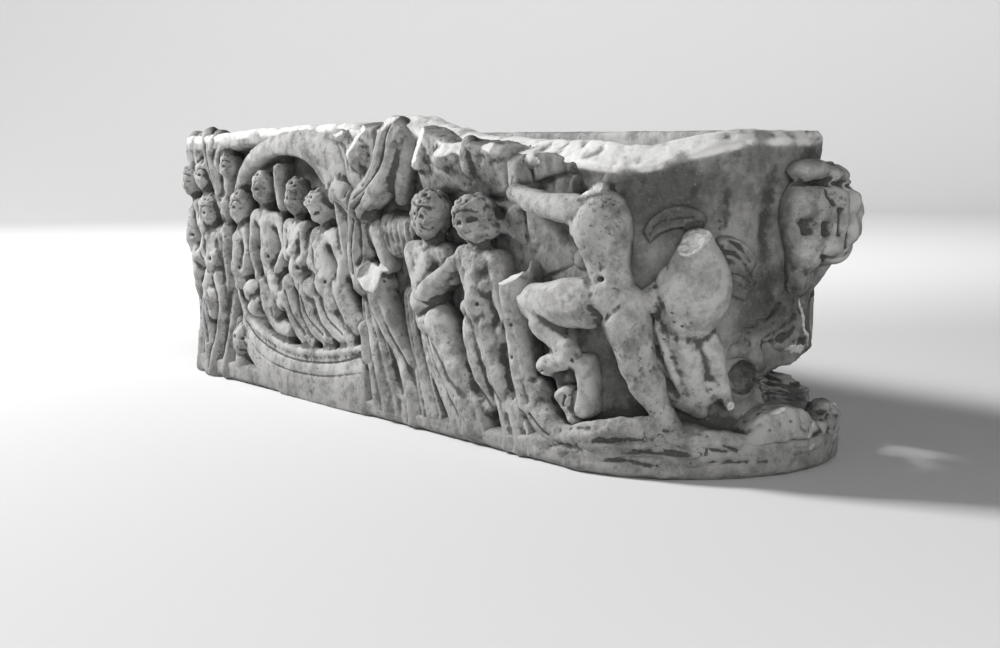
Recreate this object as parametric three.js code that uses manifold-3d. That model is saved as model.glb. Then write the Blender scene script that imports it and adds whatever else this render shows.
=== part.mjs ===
// A marble sarcophagus chest of the rounded-end (lenos) kind, carved in high relief on its front and ends
// and left plain behind, with its rim and one end broken. One block of stone, so one mesh.
//
// Millimetres. X runs along the chest, the carved front faces -Y, Z is up, and the chest rests on z = 0
// with the origin at the middle of its underside.
//
// The relief is set out in wall coordinates [s, z, d]: s runs along the carving ground in plan from the
// middle of the front, positive towards +X, z is the height, and d is how far out of the ground.

import * as THREE from "three";
import { LoftGeometry } from "three/addons/geometries/LoftGeometry.js";
import { mergeVertices } from "three/addons/utils/BufferGeometryUtils.js";
import Module from "manifold-3d";

const wasm = await Module();
wasm.setup();

// ---------------------------------------------------------------- driving dimensions

const HEIGHT = 600; // floor to the sound parts of the rim
const HALF_FRONT = 800; // half of the straight stretch of the front and of the back
const GROUND_RADIUS = 220; // plan radius of the carving ground at the rounded ends, at the foot
const FLARE = 25; // outward lean of the walls over their height
const RELIEF = 56; // how far the foot strip, the rim band and the plain back stand out of the ground
const WALL = 46; // thickness of the carved wall behind its ground
const FLOOR = 90; // thickness of the chest's bottom
const RIM_BAND = 34; // height of the band under the rim
const BACK_WALL = 62; // thickness of the plain back wall
const BAND_SLOPE = 16; // slope that joins a band to the ground
const ROOT = 8; // how far the back of a carved member runs into the wall
const END_ARC = Math.PI * GROUND_RADIUS; // length of one rounded end along the ground
const HALF_LOOP = 2 * HALF_FRONT + END_ARC; // from the middle of the front to the middle of the back
const END_TIP = HALF_FRONT + END_ARC / 2; // the tip of a rounded end
const FRONT_STATIONS = 8; // sections of the wall along half the front
const END_STATIONS = 11; // round an end
const BACK_STATIONS = 2; // and along half the plain back

// ---------------------------------------------------------------- wall coordinates

// Where the wall coordinates s, z, d lie in space.
function onWall(s, z, d) {
  const out = GROUND_RADIUS + d + (FLARE * z) / HEIGHT;
  const side = Math.sign(s) || 1;
  const along = Math.abs(s);
  if (along <= HALF_FRONT) return new THREE.Vector3(s, -out, z);
  const turn = (along - HALF_FRONT) / GROUND_RADIUS;
  if (turn <= Math.PI) {
    const x = HALF_FRONT + out * Math.sin(turn);
    return new THREE.Vector3(side * x, -out * Math.cos(turn), z);
  }
  return new THREE.Vector3(side * (HALF_LOOP - along), out, z);
}

// Which way the wall faces at s, in plan.
function wallNormal(s) {
  const turn = THREE.MathUtils.clamp((Math.abs(s) - HALF_FRONT) / GROUND_RADIUS, 0, Math.PI);
  return new THREE.Vector3((Math.sign(s) || 1) * Math.sin(turn), -Math.cos(turn), 0);
}

// The value at s of a line through [s, value] points.
function along(line, s) {
  const after = line.findIndex(([at]) => at >= s);
  if (after === 0) return line[0][1];
  if (after < 0) return line[line.length - 1][1];
  const [s0, v0] = line[after - 1];
  const [s1, v1] = line[after];
  return v0 + ((v1 - v0) * (s - s0)) / (s1 - s0);
}

// 0 on the carved front and ends, 1 on the plain back, with a short slope between.
function plainness(s) {
  return THREE.MathUtils.smoothstep(Math.abs(s), END_TIP + 240, END_TIP + 340);
}

// ---------------------------------------------------------------- solids

// A geometry as a solid, its shared corners merged.
function solid(geometry) {
  const plain = new THREE.BufferGeometry().copy(geometry);
  plain.deleteAttribute("normal");
  plain.deleteAttribute("uv");
  const merged = mergeVertices(plain, 1e-3);
  return new wasm.Manifold(
    new wasm.Mesh({
      numProp: 3,
      vertProperties: merged.attributes.position.array,
      triVerts: new Uint32Array(merged.index.array),
    }),
  );
}

// A solid as a geometry with flat faces.
function geometryOf(body) {
  const mesh = body.getMesh();
  const geometry = new THREE.BufferGeometry();
  geometry.setAttribute("position", new THREE.BufferAttribute(mesh.vertProperties, 3));
  geometry.setIndex(new THREE.BufferAttribute(mesh.triVerts, 1));
  return geometry;
}

// A rounded member carried through wall points [s, z, d, half width]: a limb, a fold or a branch. Its
// section has `sides` corners and is `flat` times as deep as it is wide. Its back narrows to a root in the
// wall, as undercut relief does, and each end closes on a smaller ring, unless its start is `joined` to a
// body.
function member(points, { sides = 5, flat = 0.85, blunt = 0.55, joined = false } = {}) {
  const centres = points.map(([s, z, d]) => onWall(s, z, d));
  const last = points.length - 1;
  const ring = (i, shift, share) => {
    const [s, , d, half] = points[i];
    const direction = centres[Math.min(i + 1, last)].clone().sub(centres[Math.max(i - 1, 0)]).normalize();
    const across = new THREE.Vector3().crossVectors(direction, wallNormal(s)).normalize();
    const up = new THREE.Vector3().crossVectors(across, direction);
    const centre = centres[i].clone().addScaledVector(direction, shift * half);
    const front = half * share * flat;
    const back = Math.max(front, d + ROOT);
    return Array.from({ length: sides }, (_, corner) => {
      const angle = (2 * Math.PI * corner) / sides;
      const height = Math.cos(angle) * (Math.cos(angle) > 0 ? front : back);
      const width = Math.sin(angle) * half * share;
      return centre.clone().addScaledVector(up, height).addScaledVector(across, width);
    });
  };
  const sections = points.map((_, i) => ring(i, 0, 1));
  if (!joined) sections.unshift(ring(0, -0.7, blunt));
  sections.push(ring(last, 0.7, blunt));
  return solid(new LoftGeometry(sections, { capStart: true, capEnd: true }));
}

// A rounded lump at a wall point, with its half sizes along the wall, upwards and outwards, and its lean.
// Its back reaches into the wall, unless it is a lump of air.
function lump(at, halves, { lean = 0, around = 6, levels = 4, root = true } = {}) {
  const [s, z, d] = at;
  const [halfAlong, halfUp, halfOut] = halves;
  const shape = new THREE.SphereGeometry(1, around, levels);
  shape.scale(halfAlong, halfUp, halfOut);
  shape.rotateZ(lean);
  const corners = shape.attributes.position;
  const stretch = root ? Math.max(1, (d + ROOT) / halfOut) : 1;
  for (let i = 0; i < corners.count; i += 1) {
    if (corners.getZ(i) < 0) corners.setZ(i, corners.getZ(i) * stretch);
  }
  const normal = wallNormal(s);
  const up = new THREE.Vector3(0, 0, 1);
  const alongWall = new THREE.Vector3().crossVectors(up, normal);
  const turned = new THREE.Matrix4().makeBasis(alongWall, up, normal);
  return solid(shape.applyMatrix4(turned.setPosition(onWall(s, z, d))));
}

// ---------------------------------------------------------------- the chest

// Heights of the broken rim along the front, in s.
const RIM_LINE = [
  [-HALF_LOOP, HEIGHT],
  [-1200, HEIGHT],
  [-775, 600],
  [-475, 618],
  [145, 636],
  [290, 632],
  [370, 600],
  [500, 595],
  [590, 580],
  [745, 570],
  [925, 570],
  [1005, 592],
  [1095, 606],
  [1180, 602],
  [1300, HEIGHT],
  [HALF_LOOP, HEIGHT],
];

// How far the rim's edge stands out: it is broken back over the headless figure.
const RIM_REACH = [
  [-HALF_LOOP, RELIEF],
  [540, RELIEF],
  [640, 22],
  [720, 4],
  [980, 6],
  [1080, 20],
  [1150, 14],
  [1420, 16],
  [1540, RELIEF],
  [HALF_LOOP, RELIEF],
];

// Top of the strip of waves and rock that the figures stand on.
const FOOT_LINE = [
  [-HALF_LOOP, 55],
  [-700, 45],
  [-300, 40],
  [300, 30],
  [600, 35],
  [780, 58],
  [870, 86],
  [1000, 92],
  [1080, 78],
  [1300, 70],
  [HALF_LOOP, 55],
];

// How far the inside of the wall lies from the ground's line at s.
function innerFace(s) {
  return -THREE.MathUtils.lerp(WALL, BACK_WALL - RELIEF, plainness(s));
}

// The wall's section at s, set out up the outside and over the rim, and wound so that its faces look out.
function wallSection(s) {
  const plain = plainness(s);
  const rim = along(RIM_LINE, s);
  const reach = along(RIM_REACH, s);
  const foot = along(FOOT_LINE, s);
  const ground = RELIEF * plain;
  const band = THREE.MathUtils.lerp(Math.max(reach, 0.6 * RELIEF), RELIEF, plain);
  return [
    [0, innerFace(s)],
    [0, RELIEF - 10],
    [foot, RELIEF],
    [foot + BAND_SLOPE, ground],
    [rim - RIM_BAND - BAND_SLOPE, ground],
    [rim - RIM_BAND, band],
    [rim - 6, reach],
    [rim, reach - 8],
    [rim, innerFace(s)],
  ]
    .map(([z, d]) => onWall(s, z, d))
    .reverse();
}

// Stations round the whole loop: half a front, an end and half a back, and the same again mirrored.
function stations() {
  const stretch = (from, length, steps) =>
    Array.from({ length: steps }, (_, i) => from + (length * i) / steps);
  const half = [
    ...stretch(0, HALF_FRONT, FRONT_STATIONS),
    ...stretch(HALF_FRONT, END_ARC, END_STATIONS),
    ...stretch(HALF_FRONT + END_ARC, HALF_FRONT, BACK_STATIONS),
  ];
  const mirrored = half.slice(1).reverse().map((at) => -at);
  return [...half, HALF_LOOP, ...mirrored];
}

// The wall all the way round, closed on its own first section.
function wall() {
  const sections = stations().map(wallSection);
  return solid(new LoftGeometry([...sections, sections[0]]));
}

// The bottom, a slab that runs a little way into the wall all round.
function bottom() {
  const edge = (z) => stations().map((s) => onWall(s, z, innerFace(s) + ROOT));
  return solid(new LoftGeometry([edge(0), edge(FLOOR)], { capStart: true, capEnd: true }));
}

// ---------------------------------------------------------------- figures

// Half widths of a figure's joints, for an adult and for a child of size 1.
const ADULT = {
  neck: 24, chest: 56, waist: 47, pelvis: 54, shoulder: 26, elbow: 19, hand: 16,
  hip: 40, knee: 30, ankle: 19, toe: 16, head: [34, 46, 36],
};
const CHILD = {
  neck: 20, chest: 42, waist: 45, pelvis: 44, shoulder: 22, elbow: 18, hand: 14,
  hip: 32, knee: 26, ankle: 17, toe: 14, head: [36, 56, 40],
};

// The chains of joints that a body is made of, with each joint's own girth.
const CHAINS = [
  ["neck", "chest", "waist", "pelvis"],
  ["shoulderR", "elbowR", "handR"],
  ["shoulderL", "elbowL", "handL"],
  ["hipR", "kneeR", "ankleR", "toeR"],
  ["hipL", "kneeL", "ankleL", "toeL"],
];

// One figure's solids, from the wall points of the joints that it still has.
function figure({ girths, size = 1, joints }) {
  const parts = [];
  for (const chain of CHAINS) {
    const points = chain
      .filter((joint) => joints[joint])
      .map((joint) => [...joints[joint], size * girths[joint.replace(/[RL]$/, "")]]);
    const section = chain[0] === "neck" ? { sides: 6, flat: 0.72 } : { flat: 0.9, joined: true };
    if (points.length > 1) parts.push(member(points, section));
  }
  if (joints.head) parts.push(lump(joints.head, girths.head.map((half) => half * size)));
  return parts;
}

// The striding nude youth, who has lost head, left arm and right forearm.
const YOUTH = {
  girths: ADULT,
  joints: {
    neck: [870, 490, 40],
    chest: [870, 430, 34],
    waist: [875, 365, 32],
    pelvis: [885, 315, 32],
    shoulderR: [838, 468, 44],
    elbowR: [755, 470, 50],
    handR: [645, 490, 42],
    shoulderL: [905, 450, 34],
    elbowL: [925, 425, 26],
    hipR: [855, 305, 40],
    kneeR: [712, 295, 54],
    ankleR: [812, 208, 46],
    toeR: [735, 180, 50],
    hipL: [905, 305, 34],
    kneeL: [930, 200, 46],
    ankleL: [965, 112, 36],
  },
};

// The nearer of the two standing children, his arm across to the other.
const CHILD_NEAR = {
  girths: CHILD,
  joints: {
    head: [345, 438, 48],
    neck: [300, 380, 30],
    chest: [315, 335, 30],
    waist: [318, 285, 30],
    pelvis: [318, 240, 28],
    shoulderR: [258, 362, 38],
    elbowR: [325, 285, 56],
    handR: [435, 345, 56],
    hipR: [290, 235, 34],
    kneeR: [262, 170, 42],
    ankleR: [288, 65, 34],
    hipL: [345, 235, 34],
    kneeL: [396, 185, 44],
    ankleL: [470, 75, 38],
    toeL: [500, 45, 36],
  },
};

// The farther child, leaning his head towards the broken tree.
const CHILD_FAR = {
  girths: CHILD,
  size: 0.94,
  joints: {
    head: [520, 442, 48],
    neck: [497, 385, 30],
    chest: [497, 345, 28],
    waist: [490, 290, 26],
    pelvis: [487, 245, 26],
    shoulderR: [448, 362, 36],
    elbowR: [500, 300, 42],
    shoulderL: [553, 362, 28],
    elbowL: [545, 295, 44],
    handL: [570, 262, 40],
    hipL: [500, 235, 30],
    kneeL: [505, 185, 34],
    ankleL: [550, 85, 28],
  },
};

// The group under the billowing veil, from the middle of the front outwards.
const BOAT_CREW = [
  {
    girths: CHILD,
    size: 0.78,
    joints: {
      head: [-570, 440, 42],
      neck: [-595, 392, 26],
      chest: [-605, 345, 30],
      waist: [-608, 295, 30],
      pelvis: [-612, 240, 28],
      shoulderR: [-645, 372, 26],
      elbowR: [-655, 310, 34],
    },
  },
  {
    girths: CHILD,
    size: 0.8,
    joints: {
      head: [-440, 482, 40],
      neck: [-455, 432, 28],
      chest: [-425, 392, 30],
      waist: [-430, 345, 30],
      pelvis: [-438, 298, 28],
      shoulderR: [-498, 412, 34],
      elbowR: [-500, 325, 44],
      handR: [-485, 272, 42],
      shoulderL: [-355, 402, 30],
      elbowL: [-342, 335, 36],
      hipL: [-415, 285, 32],
      kneeL: [-388, 245, 42],
      ankleL: [-400, 168, 36],
    },
  },
  {
    girths: CHILD,
    size: 0.78,
    joints: {
      head: [-262, 460, 40],
      neck: [-278, 408, 28],
      chest: [-280, 360, 30],
      waist: [-272, 315, 30],
      pelvis: [-262, 275, 28],
      shoulderL: [-322, 390, 34],
      elbowL: [-355, 330, 42],
      handL: [-290, 300, 48],
    },
  },
  {
    girths: CHILD,
    size: 0.86,
    joints: {
      head: [-130, 444, 42],
      neck: [-135, 385, 28],
      chest: [-138, 340, 32],
      waist: [-120, 290, 34],
      pelvis: [-95, 240, 32],
      shoulderL: [-95, 370, 34],
      elbowL: [-60, 320, 42],
      handL: [-110, 285, 48],
    },
  },
];

// The small figures round the far end.
const FAR_GROUP = [
  {
    girths: CHILD,
    size: 0.66,
    joints: {
      head: [-762, 492, 42],
      neck: [-768, 455, 26],
      chest: [-775, 440, 26],
    },
  },
  {
    girths: CHILD,
    size: 0.72,
    joints: {
      head: [-752, 415, 36],
      neck: [-750, 380, 26],
      chest: [-748, 350, 30],
      waist: [-744, 320, 32],
      pelvis: [-742, 290, 28],
      hipL: [-755, 280, 30],
      kneeL: [-790, 240, 40],
      ankleL: [-806, 165, 30],
      shoulderR: [-785, 395, 36],
      elbowR: [-800, 330, 46],
    },
  },
];

// Tree, cloth, boat and wing work, as members [s, z, d, half width] with the depth of their section.
const CARVING = [
  // broken tree between the children and the youth
  {
    points: [[640, 316, 50, 27], [642, 230, 50, 20], [656, 155, 46, 22], [690, 95, 38, 30], [725, 60, 30, 30]],
  },
  // branch and rock under the youth's raised foot
  { points: [[826, 188, 32, 18], [826, 115, 28, 20]] },
  { points: [[790, 138, 32, 20], [800, 108, 28, 22]] },
  // struts from the broken rim
  { points: [[885, 520, 34, 13], [885, 560, 24, 15]] },
  { points: [[800, 480, 30, 10], [806, 556, 18, 13]] },
  { points: [[650, 490, 30, 17], [655, 560, 26, 20]] },
  // wing behind the youth
  { points: [[640, 452, 14, 26], [700, 400, 14, 30], [790, 372, 12, 20]], flat: 0.55 },
  { points: [[650, 400, 10, 24], [720, 352, 10, 24], [800, 330, 8, 14]], flat: 0.55 },
  // cloak that hangs from the rim beside the children
  {
    points: [
      [205, 610, 36, 22], [188, 570, 44, 22], [158, 515, 48, 20],
      [110, 478, 50, 20], [58, 455, 50, 20], [24, 425, 44, 18],
    ],
  },
  { points: [[242, 600, 30, 26], [196, 540, 24, 20], [186, 470, 22, 18]], flat: 0.7 },
  // the cloaked figure's trunk, broken knee and leg
  { points: [[30, 400, 26, 34], [22, 320, 28, 34], [28, 250, 26, 26], [78, 172, 26, 20]] },
  {
    points: [[60, 318, 32, 26], [96, 290, 46, 24], [112, 245, 42, 22], [160, 190, 36, 20], [205, 140, 30, 16]],
  },
  // wing of the nearer child
  { points: [[230, 396, 22, 22], [165, 388, 32, 20], [104, 388, 34, 12]], flat: 0.6 },
  { points: [[230, 372, 20, 20], [182, 352, 26, 16]], flat: 0.6 },
  { points: [[215, 430, 26, 20], [178, 452, 36, 15], [135, 455, 34, 10]], flat: 0.6 },
  // drapery that falls between and below the children
  { points: [[405, 300, 34, 26], [400, 220, 30, 34], [425, 130, 26, 30], [440, 60, 24, 22]] },
  { points: [[560, 230, 22, 24], [590, 150, 22, 22], [610, 80, 20, 20]], flat: 0.7 },
  // veil that billows over the boat's crew
  {
    points: [
      [-590, 430, 30, 20], [-560, 490, 36, 22], [-470, 545, 40, 23], [-330, 572, 44, 24],
      [-200, 572, 44, 24], [-108, 540, 40, 22], [-62, 488, 36, 20], [-36, 440, 30, 18],
    ],
  },
  { points: [[-355, 470, 22, 14], [-352, 520, 30, 14], [-322, 545, 34, 12]] },
  { points: [[-40, 480, 30, 20], [10, 500, 38, 22], [40, 545, 36, 24], [60, 580, 30, 20]], flat: 0.8 },
  // boat: gunwale, hull and prow
  {
    points: [
      [-610, 250, 34, 20], [-570, 190, 40, 22], [-500, 145, 44, 22], [-400, 112, 46, 22], [-300, 98, 46, 22],
      [-200, 98, 46, 22], [-110, 110, 44, 22], [-20, 132, 40, 24], [30, 150, 34, 22],
    ],
  },
  {
    points: [[-470, 88, 26, 38], [-340, 68, 30, 44], [-200, 66, 30, 44], [-60, 88, 28, 38], [20, 118, 22, 24]],
  },
  { points: [[-540, 150, 26, 26], [-500, 100, 26, 30], [-470, 60, 24, 26]] },
  // cloth and crew inside the boat
  { points: [[-240, 245, 32, 26], [-205, 185, 34, 26], [-130, 150, 32, 24]] },
  { points: [[-60, 240, 30, 26], [-30, 195, 30, 24], [20, 188, 30, 18]] },
  { points: [[-330, 215, 28, 24], [-300, 165, 32, 24], [-250, 140, 32, 20]] },
  { points: [[-520, 232, 34, 20], [-490, 188, 36, 18]] },
  // sea creature under the prow
  { points: [[-600, 100, 30, 32], [-612, 55, 26, 38], [-560, 30, 22, 30]] },
  // tree, arch and foliage at the far end
  { points: [[-745, 580, 36, 26], [-722, 510, 34, 22], [-695, 440, 28, 18]] },
  { points: [[-690, 510, 28, 12], [-676, 555, 34, 14], [-620, 580, 34, 14], [-560, 584, 32, 14]] },
  { points: [[-712, 225, 28, 22], [-732, 160, 30, 26], [-764, 85, 26, 22]] },
  { points: [[-840, 560, 28, 24], [-846, 470, 30, 24], [-850, 380, 30, 22], [-846, 300, 28, 22]] },
  { points: [[-838, 220, 30, 24], [-842, 140, 30, 26], [-836, 80, 26, 24]] },
  // broken torso of the fallen figure, its thigh and cloth
  {
    points: [[1016, 396, 36, 38], [1012, 345, 40, 56], [1006, 298, 36, 50]],
    sides: 6,
    flat: 0.75,
    blunt: 0.8,
  },
  { points: [[970, 335, 34, 26], [940, 318, 30, 20]] },
  { points: [[1016, 255, 30, 34], [1034, 200, 30, 26], [1056, 138, 24, 16]] },
  { points: [[975, 225, 24, 18], [972, 172, 24, 16], [1016, 130, 22, 12]] },
  // wings above it
  { points: [[935, 432, 10, 13], [958, 452, 15, 15], [990, 466, 18, 16], [1026, 450, 14, 14]] },
  { points: [[1030, 408, 14, 20], [1072, 398, 12, 18], [1104, 366, 8, 10]], flat: 0.6 },
  // broken slab and rocks at the near end of the strip
  { points: [[1088, 88, 34, 24], [1128, 106, 42, 32], [1170, 102, 40, 34], [1206, 84, 34, 24]], flat: 0.7 },
  { points: [[1150, 145, 44, 22], [1190, 138, 44, 24], [1228, 122, 40, 20]] },
];

// A lion's mask at a rounded end: skull, muzzle, jaw and ears, and on the finished one brows and locks of
// mane too. `side` is 1 at the near end and -1 at the far one, and `bold` is how far it all stands out.
function lionMask(side, bold, finished) {
  const at = ([s, z, d, ...rest]) => [side * s, z, d * bold, ...rest];
  const masses = [
    [[1206, 458, 18], [66, 92, 62]],
    [[1214, 428, 62], [33, 36, 42]],
    [[1214, 388, 46], [30, 26, 34]],
    [[1184, 556, 26], [22, 24, 26]],
    [[1252, 552, 26], [22, 24, 26]],
  ];
  const brows = [
    [[1190, 492, 56], [22, 15, 24]],
    [[1240, 492, 52], [22, 15, 24]],
  ];
  const locks = [
    [[1150, 520, 22, 15], [1140, 460, 26, 16], [1150, 395, 22, 13]],
    [[1168, 400, 32, 13], [1176, 352, 30, 12], [1200, 326, 24, 10]],
    [[1270, 510, 24, 16], [1282, 450, 26, 16], [1272, 390, 22, 13]],
    [[1208, 570, 30, 15], [1230, 584, 28, 13], [1262, 582, 22, 11]],
  ];
  const lumps = finished ? [...masses, ...brows] : masses;
  const parts = lumps.map(([place, [wide, high, deep]]) => lump(at(place), [wide, high, deep * bold]));
  if (finished) parts.push(...locks.map((lock) => member(lock.map(at))));
  return parts;
}

// ---------------------------------------------------------------- breaks and drilled hollows

// What is gone from the block: rough lumps of air.
function breaks() {
  const air = (place, halves, lean = 0) => lump(place, halves, { lean, around: 7, root: false });
  return [
    // the near end, broken through into the hollow just above the foot
    air([1350, 164, 10], [230, 36, 96], -0.04),
    air([1215, 150, 40], [90, 32, 74], 0.25),
    // the drilled cavity beside it
    air([1098, 172, 0], [26, 30, 26]),
    // the drilled hollow between the mask and the rim
    air([1225, 556, 10], [44, 20, 34]),
  ];
}

// ---------------------------------------------------------------- the block

// The whole block. Pockets that the carving closes off inside the stone are filled.
function chest() {
  const carving = [
    ...figure(YOUTH),
    ...figure(CHILD_NEAR),
    ...figure(CHILD_FAR),
    ...BOAT_CREW.flatMap(figure),
    ...FAR_GROUP.flatMap(figure),
    ...CARVING.map(({ points, ...section }) => member(points, section)),
    ...lionMask(1, 1, true),
    ...lionMask(-1, 0.6, false),
  ];
  let block = wall().add(bottom());
  for (const piece of carving) block = block.add(piece);
  for (const gap of breaks()) block = block.subtract(gap);
  const [whole] = block.decompose().sort((a, b) => b.volume() - a.volume());
  return whole;
}

const marble = new THREE.MeshStandardMaterial({ color: 0xbdbbb6, roughness: 0.85, metalness: 0 });

const trough = new THREE.Mesh(geometryOf(chest()), marble);
trough.name = "sarcophagus_chest";

const sarcophagus = new THREE.Group();
sarcophagus.add(trough);

export default sarcophagus;
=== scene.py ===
"""The looks of a broken marble sarcophagus chest with rounded ends and carved figures.

Everything is set out in wall coordinates: s runs along the carving ground in plan from the middle of the
front, z is the height and d is how far out of the ground, all three in millimetres. A carved group is a set
of closed surfaces in those coordinates, fused into one skin, cut with grooves and drill holes, and worn.
"""

import logging
import math
from dataclasses import dataclass
from enum import Enum
from typing import Sequence

import bmesh
import bpy
import numpy as np
from bpy.types import Material, Mesh, Node, NodeSocket, Object
from mathutils import Matrix, Vector


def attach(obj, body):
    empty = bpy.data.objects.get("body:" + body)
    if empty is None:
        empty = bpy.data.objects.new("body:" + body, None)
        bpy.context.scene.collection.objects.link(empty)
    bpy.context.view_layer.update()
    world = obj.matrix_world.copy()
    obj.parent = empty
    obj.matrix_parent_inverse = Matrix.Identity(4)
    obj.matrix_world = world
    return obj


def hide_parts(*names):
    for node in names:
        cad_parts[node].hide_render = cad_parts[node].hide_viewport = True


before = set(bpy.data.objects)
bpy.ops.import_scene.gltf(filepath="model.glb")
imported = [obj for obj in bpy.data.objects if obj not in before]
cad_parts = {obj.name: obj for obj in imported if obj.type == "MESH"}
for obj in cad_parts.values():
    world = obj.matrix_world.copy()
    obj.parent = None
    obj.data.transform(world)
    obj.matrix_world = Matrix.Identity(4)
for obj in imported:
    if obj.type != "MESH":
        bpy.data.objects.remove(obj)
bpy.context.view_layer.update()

NODE = "sarcophagus_chest"
MM = 0.001
SECTION_STEP = 6.0
CAP_ANGLES = (90.0, 68.0, 45.0, 22.0)
CAP_LENGTH = 0.85
POLISH_SHARE = 0.6
MEND_TURNS = 5
SCRAP_CORNERS = 200
# Turns of smoothing, and how far in mm the stone lies under its smoothed copy where it counts as hollow.
HOLLOW_STEPS = ((4, 1.6), (20, 3.6))
log = logging.getLogger("sarcophagus")

Array = np.ndarray
Place = tuple[float, float, float]
Stop = tuple[float, float, float, float]
Line = tuple[tuple[float, float], ...]
Colour = tuple[float, float, float]
Socket = NodeSocket


# ---- Wall coordinates


@dataclass(frozen=True)
class Plan:
    """The carving ground's shape in plan and its lean, in millimetres."""

    half_front: float = 800.0
    ground_radius: float = 220.0
    flare: float = 25.0
    height: float = 600.0
    relief: float = 56.0
    wall: float = 46.0
    back_wall: float = 62.0
    floor: float = 90.0

    @property
    def end_arc(self) -> float:
        """Length of one rounded end along the ground."""
        return math.pi * self.ground_radius

    @property
    def end_tip(self) -> float:
        """Where the tip of a rounded end lies along the ground."""
        return self.half_front + self.end_arc / 2

    @property
    def half_loop(self) -> float:
        """From the middle of the front round to the middle of the back."""
        return 2 * self.half_front + self.end_arc

    def turn(self, s: Array) -> Array:
        """How far the wall has turned at s, from 0 on the front to pi on the back."""
        return np.clip((np.abs(s) - self.half_front) / self.ground_radius, 0.0, math.pi)

    def normal(self, s: Array) -> Array:
        """The outward direction in plan: (sin, -cos) of the turn, mirrored for negative s."""
        turn = self.turn(s)
        side = np.where(s < 0, -1.0, 1.0)
        return np.stack([side * np.sin(turn), -np.cos(turn), np.zeros_like(turn)], axis=-1)

    def place(self, s: Array, z: Array, d: Array) -> Array:
        """Turns wall coordinates into space.

        On the straights the point lies square to the wall; round an end it lies on a circle about the end's
        centre whose radius is the ground's radius plus d plus the lean.

        Args:
            s: along the ground, millimetres.
            z: height, millimetres.
            d: outwards, millimetres.

        Returns:
            Points in metres, one row each.
        """
        s, z, d = np.broadcast_arrays(np.asarray(s, float), z, d)
        out = self.ground_radius + d + self.flare * z / self.height
        along = np.abs(s)
        side = np.where(s < 0, -1.0, 1.0)
        turn = self.turn(s)
        behind = np.maximum(along - self.half_front - self.end_arc, 0.0)
        straight = np.minimum(along, self.half_front) - behind
        x = side * (straight + out * np.sin(turn))
        y = -out * np.cos(turn)
        return np.stack([x, y, z], axis=-1) * MM

    def locate(self, points: Array) -> tuple[Array, Array, Array]:
        """The wall coordinates of points in space: the inverse of place.

        Args:
            points: rows of x, y, z in metres.

        Returns:
            s, z and d in millimetres.
        """
        x, y, z = (points / MM).T
        side = np.where(x < 0, -1.0, 1.0)
        beyond = np.maximum(np.abs(x) - self.half_front, 0.0)
        turn = np.arctan2(beyond, -y)
        out = np.hypot(beyond, y)
        round_end = self.half_front + self.ground_radius * turn
        behind = self.half_loop - np.abs(x)
        along = np.where(beyond > 0, round_end, np.where(y > 0, behind, np.abs(x)))
        return side * along, z, out - self.ground_radius - self.flare * z / self.height

    def plainness(self, s: Array) -> Array:
        """0 on the carved front and ends, 1 on the plain back, with a smooth step between."""
        return smooth_step(np.abs(s), self.end_tip + 240, self.end_tip + 340)

    def inner_face(self, s: Array) -> Array:
        """How far the inside of the wall lies from the ground's line, millimetres."""
        plain = self.plainness(s)
        return -(self.wall * (1 - plain) + (self.back_wall - self.relief) * plain)


def smooth_step(value: Array, low: float, high: float) -> Array:
    """0 below low, 1 above high, and a cubic between."""
    t = np.clip((value - low) / (high - low), 0.0, 1.0)
    return t * t * (3 - 2 * t)


PLAN = Plan()


# ---- Numbers and noise


LATTICE_PRIMES = np.array([374761393, 668265263, 2147483647], dtype=np.int64)


def lattice_value(cells: Array, seed: int) -> Array:
    """A repeatable random number from -1 to 1 for each row of whole numbers, by mixing their bits."""
    mixed = cells.astype(np.int64) @ LATTICE_PRIMES + seed * 974634777
    mixed = (mixed ^ (mixed >> 13)) * 1274126177
    mixed = (mixed ^ (mixed >> 16)) & 0xFFFFFF
    return mixed / 8388607.5 - 1.0


def noise(points: Array, size: float, seed: int = 0) -> Array:
    """Smooth noise from -1 to 1: random values on a cubic lattice of the given size, blended by cubics.

    Args:
        points: rows of x, y, z in metres.
        size: the lattice's spacing, metres.
        seed: which noise.

    Returns:
        One value for each point.
    """
    scaled = points / size
    cell = np.floor(scaled)
    t = scaled - cell
    t = t * t * (3 - 2 * t)
    total = np.zeros(len(points))
    for corner in np.ndindex(2, 2, 2):
        weight = np.prod(np.where(np.array(corner) == 1, t, 1 - t), axis=1)
        total += weight * lattice_value(cell + corner, seed)
    return total


def layered_noise(points: Array, size: float, layers: int, seed: int = 0) -> Array:
    """Sum of noises, each half as large and half as strong as the one before."""
    return sum(noise(points, size / 2**i, seed + i) / 2**i for i in range(layers))


def smooth_line(stops: Array, step: float) -> Array:
    """A Catmull-Rom curve through rows of numbers, sampled about every step of its first three columns."""
    before = np.vstack([2 * stops[0] - stops[1], stops[:-1]])
    after = np.vstack([stops[1:], 2 * stops[-1] - stops[-2]])
    slopes = (after - before) / 2
    rows = [stops[:1]]
    for i in range(len(stops) - 1):
        length = float(np.linalg.norm(stops[i + 1, :3] - stops[i, :3]))
        t = np.linspace(0, 1, max(2, int(length / step) + 1))[1:, None]
        t2, t3 = t * t, t * t * t
        rows.append(
            (2 * t3 - 3 * t2 + 1) * stops[i]
            + (t3 - 2 * t2 + t) * slopes[i]
            + (3 * t2 - 2 * t3) * stops[i + 1]
            + (t3 - t2) * slopes[i + 1]
        )
    return np.vstack(rows)


def unit(vectors: Array) -> Array:
    """Vectors made one long."""
    return vectors / np.maximum(np.linalg.norm(vectors, axis=-1, keepdims=True), 1e-12)


# ---- Surfaces


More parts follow.
